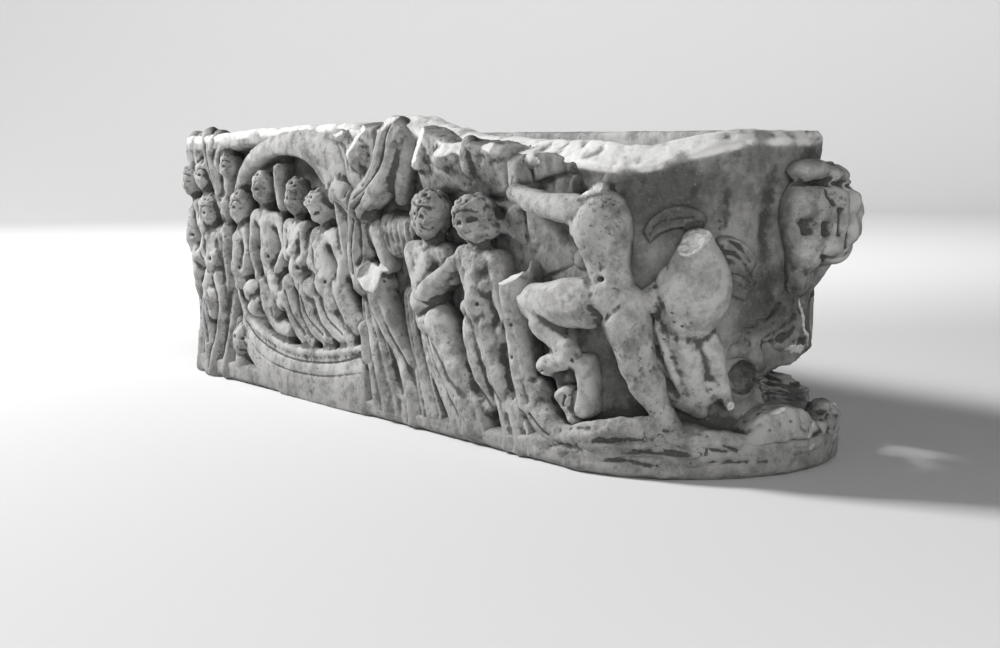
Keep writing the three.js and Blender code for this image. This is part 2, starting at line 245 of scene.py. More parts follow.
@dataclass
class Surface:
    """A mesh as arrays: corners in metres, and four-cornered faces."""

    points: Array
    faces: Array

    @staticmethod
    def grid(points: Array, wrap: bool) -> "Surface":
        """A grid of points as faces; rows run on, and columns close on themselves where wrap is set.

        Args:
            points: array of rows, columns and x, y, z.
            wrap: whether the last column joins the first.

        Returns:
            The surface, its faces outward where columns run anticlockwise seen from the last row.
        """
        rows, columns = points.shape[:2]
        row = np.arange(rows - 1)[:, None]
        column = np.arange(columns if wrap else columns - 1)[None, :]
        after = (column + 1) % columns
        faces = np.stack(
            np.broadcast_arrays(
                row * columns + column,
                row * columns + after,
                (row + 1) * columns + after,
                (row + 1) * columns + column,
            ),
            axis=-1,
        ).reshape(-1, 4)
        return Surface(points.reshape(-1, 3), faces)

    @staticmethod
    def joined(parts: Sequence["Surface"]) -> "Surface":
        """Several surfaces as one."""
        starts = np.cumsum([0] + [len(part.points) for part in parts[:-1]])
        return Surface(
            np.vstack([part.points for part in parts]),
            np.vstack([part.faces + start for part, start in zip(parts, starts)]),
        )


class Root(Enum):
    """How a carved member's back ends: run into the wall, or free of it."""

    WALL = 8.0
    FREE = None


def member(
    stops: Sequence[Stop],
    flat: float = 0.85,
    ridges: int = 0,
    ridge: float = 0.0,
    root: Root = Root.WALL,
    sides: int = 22,
) -> Surface:
    """A rounded member carried along a smooth line through the wall's coordinates.

    Its section is an ellipse, `flat` times as deep as wide. The back half reaches into the wall where it is
    rooted. The section's radius is multiplied by 1 + ridge * cos(ridges * angle), which runs folds along it,
    and both ends are rounded like half a ball.

    Args:
        stops: s, z, d and half width at each stop, millimetres.
        flat: depth over width.
        ridges: number of ridges round the section.
        ridge: their height as a share of the radius.
        root: whether the back runs into the wall.
        sides: corners round the section.

    Returns:
        A closed surface.
    """
    line = smooth_line(np.asarray(stops, float), SECTION_STEP)
    s, z, d, half = line.T
    centre = PLAN.place(s, z, d)
    direction = unit(np.gradient(centre, axis=0))
    across = unit(np.cross(direction, PLAN.normal(s)))
    up = np.cross(across, direction)
    lead = np.radians(CAP_ANGLES)
    caps = (-np.sin(lead) * half[0], np.zeros(len(line)), np.sin(lead[::-1]) * half[-1])
    shift = np.concatenate(caps) * CAP_LENGTH
    share = np.concatenate([np.cos(lead), np.ones(len(line)), np.cos(lead[::-1])])
    share = np.maximum(share, 0.02)
    index = np.concatenate([np.zeros(4, int), np.arange(len(line)), np.full(4, len(line) - 1)])
    centre = centre[index] + direction[index] * shift[:, None] * MM
    front = half[index] * flat * share
    back = front if root is Root.FREE else np.maximum(front, (d[index] + root.value) * np.sqrt(share))
    angle = np.linspace(0, 2 * math.pi, sides, endpoint=False)
    swell = 1 + ridge * np.cos(ridges * angle)
    depth = np.cos(angle) * np.where(np.cos(angle) > 0, front[:, None] * swell, back[:, None])
    width = np.sin(angle) * (half[index] * share)[:, None] * swell
    outline = up[index][:, None] * depth[..., None] + across[index][:, None] * width[..., None]
    points = centre[:, None] + outline * MM
    return Surface.grid(points, wrap=True)


def sheet(
    low: Sequence[Place],
    high: Sequence[Place],
    bulge: float = 0.0,
    folds: float = 0.0,
    fold: float = 0.0,
    sway: float = 0.6,
) -> Surface:
    """A broad sheet between two lines on the wall, its back in the wall.

    Across the sheet u runs from -1 on the low line to 1 on the high one. Its face stands at the lines' own d
    plus bulge * (1 - u^2) plus fold * cos(pi * folds * u + drift), and drops into the wall at all four edges.

    Args:
        low: s, z and d along one edge, millimetres.
        high: the same number of stops along the other edge.
        bulge: how far the middle swells, millimetres.
        folds: how many folds run along it.
        fold: their height, millimetres.
        sway: how far the folds drift from side to side, radians.

    Returns:
        A closed surface.
    """
    lines = smooth_line(np.hstack([np.asarray(low, float), np.asarray(high, float)]), 7.0)
    first, last = lines[:, None, :3], lines[:, None, 3:]
    u = np.sin(np.linspace(-math.pi / 2, math.pi / 2, 34))[None, :]
    run = np.linspace(0, 1, len(lines))[:, None]
    drift = sway * np.sin(5.0 * run + 1.0) + 0.5 * sway * np.sin(13.0 * run)
    front = first + (last - first) * (0.5 + 0.5 * u[..., None])
    swell = bulge * (1 - u**2) + fold * np.cos(math.pi * folds * u + drift)
    lift = np.minimum(1.0, 1.15 * (1 - np.abs(u) ** 9)) * np.minimum(1.0, np.minimum(run, 1 - run) * 9 + 0.25)
    front[..., 2] = (front[..., 2] + swell) * lift - Root.WALL.value * (1 - lift)
    back = front[:, ::-5].copy()
    back[..., 2] = -Root.WALL.value
    ring = np.concatenate([front, back], axis=1)
    closed = np.repeat(ring[[0, -1]].mean(axis=1, keepdims=True), ring.shape[1], axis=1)
    closed[..., 2] = -Root.WALL.value / 2
    ring = np.concatenate([closed[:1], ring, closed[1:]])
    return Surface.grid(PLAN.place(ring[..., 0], ring[..., 1], ring[..., 2]), wrap=True)


def ball_grid(rows: int = 22, columns: int = 32) -> Array:
    """Unit vectors over a ball, from its lowest point up, as rows and columns."""
    rise = np.linspace(-math.pi / 2, math.pi / 2, rows)[:, None]
    turn = np.linspace(0, 2 * math.pi, columns, endpoint=False)[None, :]
    return np.stack(
        np.broadcast_arrays(np.cos(rise) * np.cos(turn), np.cos(rise) * np.sin(turn), np.sin(rise)), axis=-1
    )


def wall_axes(s: float, lean: float = 0.0, yaw: float = 0.0, nod: float = 0.0) -> Array:
    """Axes at s on the wall: right, up and outward, turned by yaw, nodded by nod and leaned by lean, degrees.

    Args:
        s: where on the wall.
        lean: turn in the wall's plane, positive towards the right.
        yaw: turn about the upright, positive towards +s.
        nod: tip of the outward axis, positive downwards.

    Returns:
        The three axes as rows.
    """
    outward = PLAN.normal(np.array([s]))[0]
    upright = np.array([0.0, 0.0, 1.0])
    right = np.cross(upright, outward)
    turn, tip, roll = np.radians([yaw, nod, lean])
    face = outward * math.cos(turn) + right * math.sin(turn)
    right = np.cross(upright, face)
    face, up = face * math.cos(tip) - upright * math.sin(tip), upright * math.cos(tip) + face * math.sin(tip)
    right, up = right * math.cos(roll) - up * math.sin(roll), up * math.cos(roll) + right * math.sin(roll)
    return np.stack([right, up, face])


def lump(
    place: Place, halves: Place, lean: float = 0.0, rough: float = 0.0, seed: int = 1, root: bool = True
) -> Surface:
    """A rounded lump: a ball with three half sizes, its radius varied by noise.

    Args:
        place: s, z and d of its middle, millimetres.
        halves: half sizes along the wall, upwards and outwards, millimetres.
        lean: turn in the wall's plane, degrees.
        rough: how much noise changes the radius.
        seed: which noise.
        root: whether its back is drawn out into the wall.

    Returns:
        A closed surface.
    """
    ball = ball_grid()
    s, z, d = place
    axes = wall_axes(s, lean)
    uneven = layered_noise(ball.reshape(-1, 3) * 0.5 + seed, 0.4, 3, seed)
    radius = 1 + rough * uneven.reshape(ball.shape[:2])
    local = ball * radius[..., None] * np.array(halves)
    if root:
        stretch = max(1.0, (d + Root.WALL.value) / halves[2])
        local[..., 2] = np.where(local[..., 2] < 0, local[..., 2] * stretch, local[..., 2])
    points = PLAN.place(s, z, d) + (local @ axes) * MM
    return Surface.grid(points, wrap=True)


# ---- Carving the fused skin


@dataclass(frozen=True)
class Groove:
    """A cut along a line on the wall: its stops are s, z and depth, with one width, in millimetres."""

    stops: tuple[Place, ...]
    width: float = 6.0

    def depth_at(self, s: Array, z: Array) -> Array:
        """How deep the cut is at points of the wall.

        The cut is depth * exp(-(distance / width)^2), with distance taken to the nearest stretch of the line
        and the depth blended along that stretch.
        """
        line = np.asarray(self.stops, float)
        if len(line) > 2:
            line = smooth_line(line, 12.0)
        deepest = np.zeros(len(s))
        for start, end in zip(line[:-1], line[1:]):
            along = end[:2] - start[:2]
            t = ((s - start[0]) * along[0] + (z - start[1]) * along[1]) / max(float(along @ along), 1e-9)
            t = np.clip(t, 0.0, 1.0)
            distance2 = (s - start[0] - t * along[0]) ** 2 + (z - start[1] - t * along[1]) ** 2
            cut = (start[2] + t * (end[2] - start[2])) * np.exp(-distance2 / self.width**2)
            deepest = np.maximum(deepest, cut)
        return deepest


def hole(s: float, z: float, depth: float = 14.0, width: float = 4.5) -> Groove:
    """One drilled hole."""
    return Groove(((s, z, depth), (s + 0.5, z, depth)), width)


@dataclass(frozen=True)
class Break:
    """A broken-off end: stone past a plane is gone, and the plane is left rough and pale.

    The plane passes through `place` and faces along `towards`, given as right, up and outward.
    """

    place: Place
    towards: Place
    reach: float = 60.0
    rough: float = 2.5

    def apply(self, points: Array, fresh: Array) -> None:
        """Moves the points past the plane back onto it and marks them as fresh stone, in place."""
        s, z, d = self.place
        direction = unit(np.array(self.towards, float)) @ wall_axes(s)
        offset = points - PLAN.place(s, z, d)
        past = offset @ direction
        near = (past > -0.002) & (np.linalg.norm(offset, axis=1) < self.reach * MM)
        chosen = points[near]
        ragged = layered_noise(chosen, 0.018, 3, 31) * self.rough * MM
        points[near] = chosen - direction * np.maximum(past[near], 0.0)[:, None] + direction * ragged[:, None]
        fresh[near] = 0.7


@dataclass
class Relief:
    """A group of carved surfaces, fused into one closed skin, cut, worn and given its finish."""

    name: str
    voxel: float = 3.0
    fillet: float = 5.0
    keep: float = 0.5
    polish: int = 5
    wear: float = 1.2
    bodies: "tuple[Body, ...]" = ()
    heads: "tuple[Head, ...]" = ()
    shapes: tuple[Surface, ...] = ()
    cuts: tuple[Groove, ...] = ()
    breaks: tuple[Break, ...] = ()

    def masses(self) -> list[Surface]:
        """The group's closed surfaces before they are fused."""
        bodies = [surface for body in self.bodies for surface in body.surfaces()]
        return [*bodies, *(head.surface() for head in self.heads), *self.shapes]

    def grooves(self) -> list[Groove]:
        """Lines and holes cut into the fused skin, those of the heads too."""
        return [*self.cuts, *(line for head in self.heads for line in head.cuts())]

    def build(self, marble: Material) -> Object:
        """Fuses, cuts and wears the group, and hands back the finished piece.

        Args:
            marble: the material that the piece takes.

        Returns:
            The piece, riding on the chest.
        """
        skin = Skin(fused(Surface.joined(self.masses()), self.name, self.voxel, self.fillet))
        skin.polish(self.polish, POLISH_SHARE)
        s, z, _ = PLAN.locate(skin.points)
        cut = np.zeros(len(skin.points))
        for groove in self.grooves():
            cut = np.maximum(cut, groove.depth_at(s, z))
        outward = PLAN.normal(s)
        facing = np.clip(np.einsum("ij,ij->i", skin.normals, outward), 0.0, 1.0)
        skin.points -= outward * (cut * np.sqrt(facing))[:, None] * MM
        fresh = np.zeros(len(skin.points))
        for broken in self.breaks:
            broken.apply(skin.points, fresh)
        wear_down(skin, self.wear, fresh)
        return finish_piece(skin, fresh, PLAN.locate(skin.points)[2], self.keep, marble)


class Skin:
    """A mesh's corners, normals and edges as arrays, and how many neighbours each corner has."""

    def __init__(self, mesh: Mesh) -> None:
        """Reads the mesh."""
        self.mesh = mesh
        self.points = self.read(mesh.vertices, "co", 3, float)
        self.normals = self.read(mesh.vertex_normals, "vector", 3, float)
        self.edges = self.read(mesh.edges, "vertices", 2, np.int64)
        self.count = np.maximum(np.bincount(self.edges.ravel(), minlength=len(self.points)), 1)

    @staticmethod
    def read(rows: bpy.types.bpy_prop_collection, label: str, width: int, kind: type) -> Array:
        """One property of a mesh's corners or edges, a row each."""
        values = np.empty(len(rows) * width, dtype=kind)
        rows.foreach_get(label, values)
        return values.reshape(-1, width)

    def store(self) -> None:
        """Writes the corners back into the mesh."""
        self.mesh.vertices.foreach_set("co", self.points.ravel())
        self.mesh.update()

    def mean(self, values: Array) -> Array:
        """The mean of rows of values over each corner's neighbours."""
        total = np.zeros_like(values)
        for first, second in (self.edges.T, self.edges.T[::-1]):
            for axis in range(values.shape[1]):
                total[:, axis] += np.bincount(first, values[second, axis], len(values))
        return total / self.count[:, None]

    def polish(self, turns: int, share: Array | float) -> None:
        """Moves the corners a share of the way to the middle of their neighbours, turn by turn."""
        for _ in range(turns):
            self.points += share * (self.mean(self.points) - self.points)


def linked(name: str, data: bpy.types.ID) -> Object:
    """A new object in the scene."""
    made = bpy.data.objects.new(name, data)
    bpy.context.scene.collection.objects.link(made)
    return made


def evaluated(thing: Object) -> Mesh:
    """An object's mesh with its modifiers carried out."""
    return bpy.data.meshes.new_from_object(thing.evaluated_get(bpy.context.evaluated_depsgraph_get()))


def remeshed(mesh: Mesh, name: str, voxel: float) -> Mesh:
    """One closed skin round everything in a mesh, by a voxel remesh of the given size in mm."""
    shell = linked(name, mesh)
    remesh = shell.modifiers.new("fuse", "REMESH")
    remesh.mode = "VOXEL"
    remesh.voxel_size = voxel * MM
    skin = evaluated(shell)
    bpy.data.objects.remove(shell)
    bpy.data.meshes.remove(mesh)
    skin.name = name
    return skin


def fused(surface: Surface, name: str, voxel: float, fillet: float) -> Mesh:
    """Fuses overlapping closed surfaces into one closed skin whose creases are filled to a radius.

    The skin is grown by the radius, fused again and shrunk by as much, which leaves all but the creases.

    Args:
        surface: the closed surfaces.
        name: the mesh's name.
        voxel: size of the remesh, millimetres.
        fillet: radius to which creases are filled, millimetres.

    Returns:
        The skin.
    """
    mesh = bpy.data.meshes.new(name)
    points = surface.points.copy()
    points[:, 2] = np.maximum(points[:, 2], 0.3 * MM)
    mesh.from_pydata(points.tolist(), [], surface.faces.tolist())
    for growth in (fillet, -fillet):
        mesh = remeshed(mesh, name, voxel)
        skin = Skin(mesh)
        skin.points += unit(skin.mean(skin.normals)) * growth * MM
        skin.store()
    return mesh


def wear_down(skin: Skin, amount: float, fresh: Array) -> None:
    """Weathers a skin in place: broad swells, small knocks and pits, the knocks stronger on fresh stone.

    The skin moves along its normals by amount * (broad noise + 0.7 * small noise) less pits, which are
    where a fine noise passes a threshold.
    """
    points = skin.points
    broad = layered_noise(points, 0.034, 2, 3)
    small = layered_noise(points, 0.012, 2, 9)
    patches = smooth_step(noise(points, 0.055, 23), 0.0, 0.5)
    pits = np.clip(noise(points, 0.0080, 17) + 0.3 * small - 0.45, 0.0, 1.0) * (0.15 + patches)
    pits *= 1 - 0.7 * fresh
    shift = amount * (broad + 0.7 * small) * (1 + 0.4 * fresh) - 2.4 * amount * pits
    points += skin.normals * shift[:, None] * MM
    points[:, 2] = np.maximum(points[:, 2], 0.0)


def scraps(edges: Array, total: int) -> Array:
    """Finds the corners that belong to loose scraps of the skin.

    Each corner takes the lowest label among its neighbours until none changes.

    Args:
        edges: the skin's edges.
        total: how many corners it has.

    Returns:
        True at each corner of a scrap.
    """
    label = np.arange(total)
    settled = False
    while not settled:
        low = np.minimum(label[edges[:, 0]], label[edges[:, 1]])
        lowered = label.copy()
        np.minimum.at(lowered, edges[:, 0], low)
        np.minimum.at(lowered, edges[:, 1], low)
        lowered = lowered[lowered]
        settled = np.array_equal(lowered, label)
        label = lowered
    return np.bincount(label, minlength=total)[label] < SCRAP_CORNERS


def mend(mesh: Mesh) -> None:
    """Takes loose scraps off a thinned skin, and closes it again where the thinning has torn it."""
    loose = np.flatnonzero(scraps(Skin(mesh).edges, len(mesh.vertices)))
    work = bmesh.new()
    work.from_mesh(mesh)
    work.verts.ensure_lookup_table()
    bmesh.ops.delete(work, geom=[work.verts[i] for i in loose], context="VERTS")
    for _ in range(MEND_TURNS):
        torn = [edge for edge in work.edges if len(edge.link_faces) != 2]
        if not torn:
            break
        around = {face for edge in torn for corner in edge.verts for face in corner.link_faces}
        bmesh.ops.delete(work, geom=list(around), context="FACES_ONLY")
        bare = [edge for edge in work.edges if not edge.link_faces]
        bmesh.ops.delete(work, geom=bare, context="EDGES")
        stray = [corner for corner in work.verts if not corner.link_faces]
        bmesh.ops.delete(work, geom=stray, context="VERTS")
        filled = bmesh.ops.holes_fill(work, edges=[edge for edge in work.edges if edge.is_boundary], sides=0)
        bmesh.ops.triangulate(work, faces=filled["faces"])
    bmesh.ops.recalc_face_normals(work, faces=work.faces)
    work.to_mesh(mesh)
    work.free()
    mesh.validate()


def finish_piece(skin: Skin, fresh: Array, depth: Array, keep: float, marble: Material) -> Object:
    """Writes a skin's final shape and its hollow, depth and fresh values, thins it and makes it a piece.

    How hollow the stone is at a point is how far the skin's own smoothed copy stands outside it, fine and
    coarse together.

    Args:
        skin: the skin in its final shape.
        fresh: 1 where the stone is fresh-broken.
        depth: how far each corner stands out of the carving ground, millimetres.
        keep: share of its faces that stay.
        marble: the material it takes.

    Returns:
        The finished piece.
    """
    skin.store()
    mesh = skin.mesh
    normals = Skin(mesh).normals
    soft = skin.points.copy()
    hollow = np.zeros(len(soft))
    for turns, full in HOLLOW_STEPS:
        for _ in range(turns):
            soft = skin.mean(soft)
        hollow += np.einsum("ij,ij->i", soft - skin.points, normals) / MM / full
    for label, values in (("hollow", hollow), ("depth", depth), ("fresh", fresh)):
        mesh.attributes.new(label, "FLOAT", "POINT").data.foreach_set("value", values.astype(np.float32))
    piece = linked(mesh.name, mesh)
    if keep < 1.0:
        thin = piece.modifiers.new("thin", "DECIMATE")
        thin.ratio = keep
        thinned = evaluated(piece)
        piece.modifiers.clear()
        piece.data = thinned
        mend(thinned)
        thinned.name = mesh.name
        bpy.data.meshes.remove(mesh)
    piece.data.materials.clear()
    piece.data.materials.append(marble)
    piece.data.polygons.foreach_set("use_smooth", np.ones(len(piece.data.polygons), dtype=bool))
    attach(piece, "root")
    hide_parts(NODE)
    log.info("%s: %d faces", piece.name, len(piece.data.polygons))
    return piece


# ---- Figures


@dataclass(frozen=True)
class Head:
    """A head with a calm, plain face: its place, half sizes and how it is turned, in degrees."""

    place: Place
    halves: Place
    yaw: float = 0.0
    nod: float = 0.0
    lean: float = 0.0

    # Each feature: across, up, its half width and half height, and how far it stands out, all in shares of
    # the head. A mirrored feature is given once.
    FEATURES = (
        (0.00, 0.00, 0.10, 0.22, 0.18),
        (0.00, -0.14, 0.14, 0.08, 0.07),
        (0.33, 0.12, 0.22, 0.12, -0.10),
        (0.33, 0.11, 0.09, 0.05, 0.05),
        (0.30, 0.30, 0.22, 0.08, 0.07),
        (0.44, -0.22, 0.22, 0.20, 0.07),
        (0.00, -0.42, 0.22, 0.05, -0.08),
        (0.00, -0.34, 0.15, 0.05, 0.05),
        (0.00, -0.51, 0.13, 0.05, 0.05),
        (0.00, -0.74, 0.18, 0.15, 0.09),
    )

    # Lines cut into each head, as (across, up) stops in shares of it, then depth and width. A line that
    # starts off the middle is mirrored.
    LINES = (
        (((0.20, 0.07), (0.34, 0.11), (0.48, 0.07)), 0.11, 0.075),
        (((-0.15, -0.40), (0.0, -0.41), (0.15, -0.40)), 0.055, 0.06),
        (
            (
                (-0.80, -0.10), (-0.70, 0.28), (-0.36, 0.50), (0.0, 0.56),
                (0.36, 0.50), (0.70, 0.28), (0.80, -0.10),
            ),
            0.11, 0.08,
        ),
    )

    # The hair: its thickness, the number of locks round it, and their height.
    HAIR = (0.13, 11.0, 0.10)

    # Rings of drill holes between the curls: how far out from the face's middle, and at which angles.
    CURL_HOLES = ((0.72, range(-80, 81, 32)), (0.90, range(-112, 113, 28)))

    def on_wall(self, stops: Line, depth: float) -> tuple[Place, ...]:
        """Stops on the face, (across, up), as the stops of a groove of the given depth."""
        across, up = np.array(stops).T
        front = np.sqrt(np.maximum(1 - across**2 - up**2, 0.0))
        local = np.stack([across, up, front], axis=-1) * np.array(self.halves)
        s, z, d = self.place
        points = PLAN.place(s, z, d) + (local @ wall_axes(s, self.lean, self.yaw, self.nod)) * MM
        along_wall, high, _ = PLAN.locate(points)
        return tuple((float(a), float(b), depth) for a, b in zip(along_wall, high))

    def cuts(self) -> list[Groove]:
        """Eyes, mouth and hairline, and the drill holes between the curls."""
        size = self.halves[1]
        cuts = []
        for stops, depth, width in self.LINES:
            sides = (1, -1) if stops[0][0] > 0 else (1,)
            for side in sides:
                mirrored = [(side * across, up) for across, up in stops]
                cuts.append(Groove(self.on_wall(mirrored, depth * size), width * size))
        for ring, turns in self.CURL_HOLES:
            for turn in np.radians(turns):
                spot = [(ring * math.sin(turn), ring * math.cos(turn))] * 2
                cuts.append(Groove(self.on_wall(spot, 0.12 * size), 0.09 * size))
        return cuts

    def surface(self) -> Surface:
        """The head: a ball whose radius is raised or sunk by a bell curve for each feature, and by its hair.

        Returns:
            A closed surface.
        """
        ball = ball_grid(46, 56)
        across, up, front = ball[..., 0], ball[..., 1], ball[..., 2]
        radius = np.ones(across.shape)
        face = smooth_step(front, 0.0, 0.35)
        for place_across, place_up, wide, high, out in self.FEATURES:
            for side in {1.0, math.copysign(1.0, -place_across) if place_across else 1.0}:
                bell = np.exp(-(((across - side * place_across) / wide) ** 2) - ((up - place_up) / high) ** 2)
                radius += out * bell * face
        thick, locks, high = self.HAIR
        covered = smooth_step(np.maximum(up - 0.40, 0.24 - front), 0.0, 0.12)
        curl = noise(ball.reshape(-1, 3) + 7.3, 1.6 / locks, 5).reshape(across.shape)
        radius += covered * (thick + 0.03 + 1.5 * high * np.sign(curl) * np.sqrt(np.abs(curl)))
        worn = layered_noise(ball.reshape(-1, 3) + np.array(self.place) * 0.37, 0.55, 3, 13)
        radius += 0.07 * worn.reshape(across.shape)
        jaw = 1 - 0.12 * smooth_step(-up, 0.0, 0.9)
        local = ball * radius[..., None] * np.array(self.halves)
        local[..., 0] *= jaw
        s, z, d = self.place
        points = PLAN.place(s, z, d) + (local @ wall_axes(s, self.lean, self.yaw, self.nod)) * MM
        return Surface.grid(points, wrap=True)


@dataclass(frozen=True)
class Girths:
    """Half widths of a body's joints, millimetres."""

    neck: float
    yoke: float
    chest: float
    waist: float
    pelvis: float
    shoulder: float
    elbow: float
    hand: float
    hip: float
    knee: float
    ankle: float
    toe: float
    belly: float
    breast: float


ATHLETE = Girths(26, 52, 58, 41, 55, 26, 22, 19, 46, 33, 22, 18, 0.4, 0.0)
CHILD = Girths(18, 34, 38, 42, 42, 19, 16, 13, 32, 26, 17, 13, 1.0, 0.8)


@dataclass(frozen=True)
class Body:
    """One nude figure: its joints as wall places, keyed by name, and its girths times a size."""

    girths: Girths
    joints: dict[str, Place]
    size: float = 1.0
    free: tuple[str, ...] = ()

    SPINE = ("neck", "chest", "waist", "pelvis")
    LIMBS = {
        "right_arm": ("shoulderR", "elbowR", "handR"),
        "left_arm": ("shoulderL", "elbowL", "handL"),
        "right_leg": ("hipR", "kneeR", "ankleR", "toeR"),
        "left_leg": ("hipL", "kneeL", "ankleL", "toeL"),
    }

    # Where a limb swells or narrows between two joints: how far along, and by how much.
    MUSCLE = {
        "shoulder": ((0.25, 1.04), (0.6, 0.98)),
        "elbow": ((0.3, 1.06), (0.8, 0.84)),
        "hip": ((0.35, 1.06), (0.75, 0.95)),
        "knee": ((0.12, 0.94), (0.38, 1.14), (0.78, 0.86)),
        "ankle": (),
    }

    @classmethod
    def posed(
        cls,
        girths: Girths,
        size: float = 1.0,
        spine: tuple[Place, ...] = (),
        yoke: Place | None = None,
        free: tuple[str, ...] = (),
        **limbs: tuple[Place, ...],
    ) -> "Body":
        """A body from the places of its joints.

        Args:
            girths: the half widths of its joints.
            size: what they are multiplied by.
            spine: neck, chest, waist and pelvis, or the first of these.
            yoke: a joint between neck and chest, where it has one.
            free: limbs that stand free of the wall, by their first joint.
            limbs: the joints of each limb in LIMBS, from the trunk outwards, as far as the limb is left.

        Returns:
            The body.
        """
        joints = dict(zip(cls.SPINE, spine))
        if yoke:
            joints["yoke"] = yoke
        for limb, places in limbs.items():
            joints.update(zip(cls.LIMBS[limb], places))
        return cls(girths, joints, size, free)

    def girth(self, joint: str) -> float:
        """Half width at a joint, whichever side it is on."""
        return self.size * getattr(self.girths, joint.rstrip("RL"))

    def limb(self, chain: Sequence[str]) -> list[Stop]:
        """The stops of a limb: its joints, with the muscle between them."""
        present = [joint for joint in chain if joint in self.joints]
        stops: list[Stop] = []
        for start, end in zip(present[:-1], present[1:]):
            here = np.array([*self.joints[start], self.girth(start)])
            there = np.array([*self.joints[end], self.girth(end)])
            stops.append(tuple(here))
            for share, swell in self.MUSCLE[start.rstrip("RL")]:
                stop = here + share * (there - here)
                stop[3] *= swell
                stops.append(tuple(stop))
        if len(present) > 1:
            stops.append((*self.joints[present[-1]], self.girth(present[-1])))
        return stops

    def trunk(self) -> list[Surface]:
        """Neck to hips as one member, with the chest's halves and the belly as lumps, and the shoulders."""
        names = [joint for joint in ("neck", "yoke", "chest", "waist", "pelvis") if joint in self.joints]
        stops = [(*self.joints[joint], self.girth(joint)) for joint in names]
        parts = [member(stops, flat=0.74, sides=28)] if len(stops) > 1 else []
        if "chest" in self.joints:
            s, z, d = self.joints["chest"]
            wide = self.girth("chest")
            for side in (-1, 1):
                place = (s + side * 0.42 * wide, z + 0.16 * wide, d + 0.50 * wide)
                swell = 0.22 * wide * self.girths.breast + 1.0
                parts.append(lump(place, (0.48 * wide, 0.36 * wide, swell), root=False))
        for shoulder in sorted({"shoulderL", "shoulderR"} & set(self.joints)):
            middle = 0.35 * np.array(self.joints["neck"]) + 0.65 * np.array(self.joints["chest"])
            wide = self.girth(shoulder)
            parts.append(member([(*middle, 1.35 * wide), (*self.joints[shoulder], 1.05 * wide)], flat=0.85))
        if "waist" in self.joints:
            s, z, d = self.joints["waist"]
            wide = self.girth("waist") * self.girths.belly
            place = (s, z - 0.35 * wide, d + 0.34 * wide)
            parts.append(lump(place, (0.78 * wide, 0.86 * wide, 0.55 * wide), root=False))
        return parts

    def surfaces(self) -> list[Surface]:
        """All of the body's closed surfaces."""
        parts = self.trunk()
        for chain in self.LIMBS.values():
            stops = self.limb(chain)
            if stops:
                root = Root.FREE if chain[0] in self.free else Root.WALL
                parts.append(member(stops, flat=0.92, root=root))
        return parts


def wing(root: Stop, first: Place, last: Place, feathers: int, half: float, bow: float) -> list[Surface]:
    """A fan of flat feathers from one root to tips spread evenly from first to last.

    Args:
        root: where the feathers spring from, and half the width of the wing's shoulder.
        first: tip of the first feather.
        last: tip of the last one.
        feathers: how many.
        half: half width of a feather.
        bow: how far the feathers' middles are raised, millimetres.

    Returns:
        The feathers and the shoulder.
    """
    parts = [lump(root[:3], (root[3], root[3] * 0.8, 16), root=True)]
    for share in np.linspace(0, 1, feathers):
        tip = np.array(first) + share * (np.array(last) - np.array(first))
        middle = (np.array(root[:3]) + tip) / 2 + np.array([0.0, bow, 3.0])
        stops = [(*root[:3], half * 0.7), (*middle, half), (*tip, half * 0.6)]
        parts.append(member(stops, flat=0.5, sides=12))
    return parts


# ---- The carved groups, from the near end


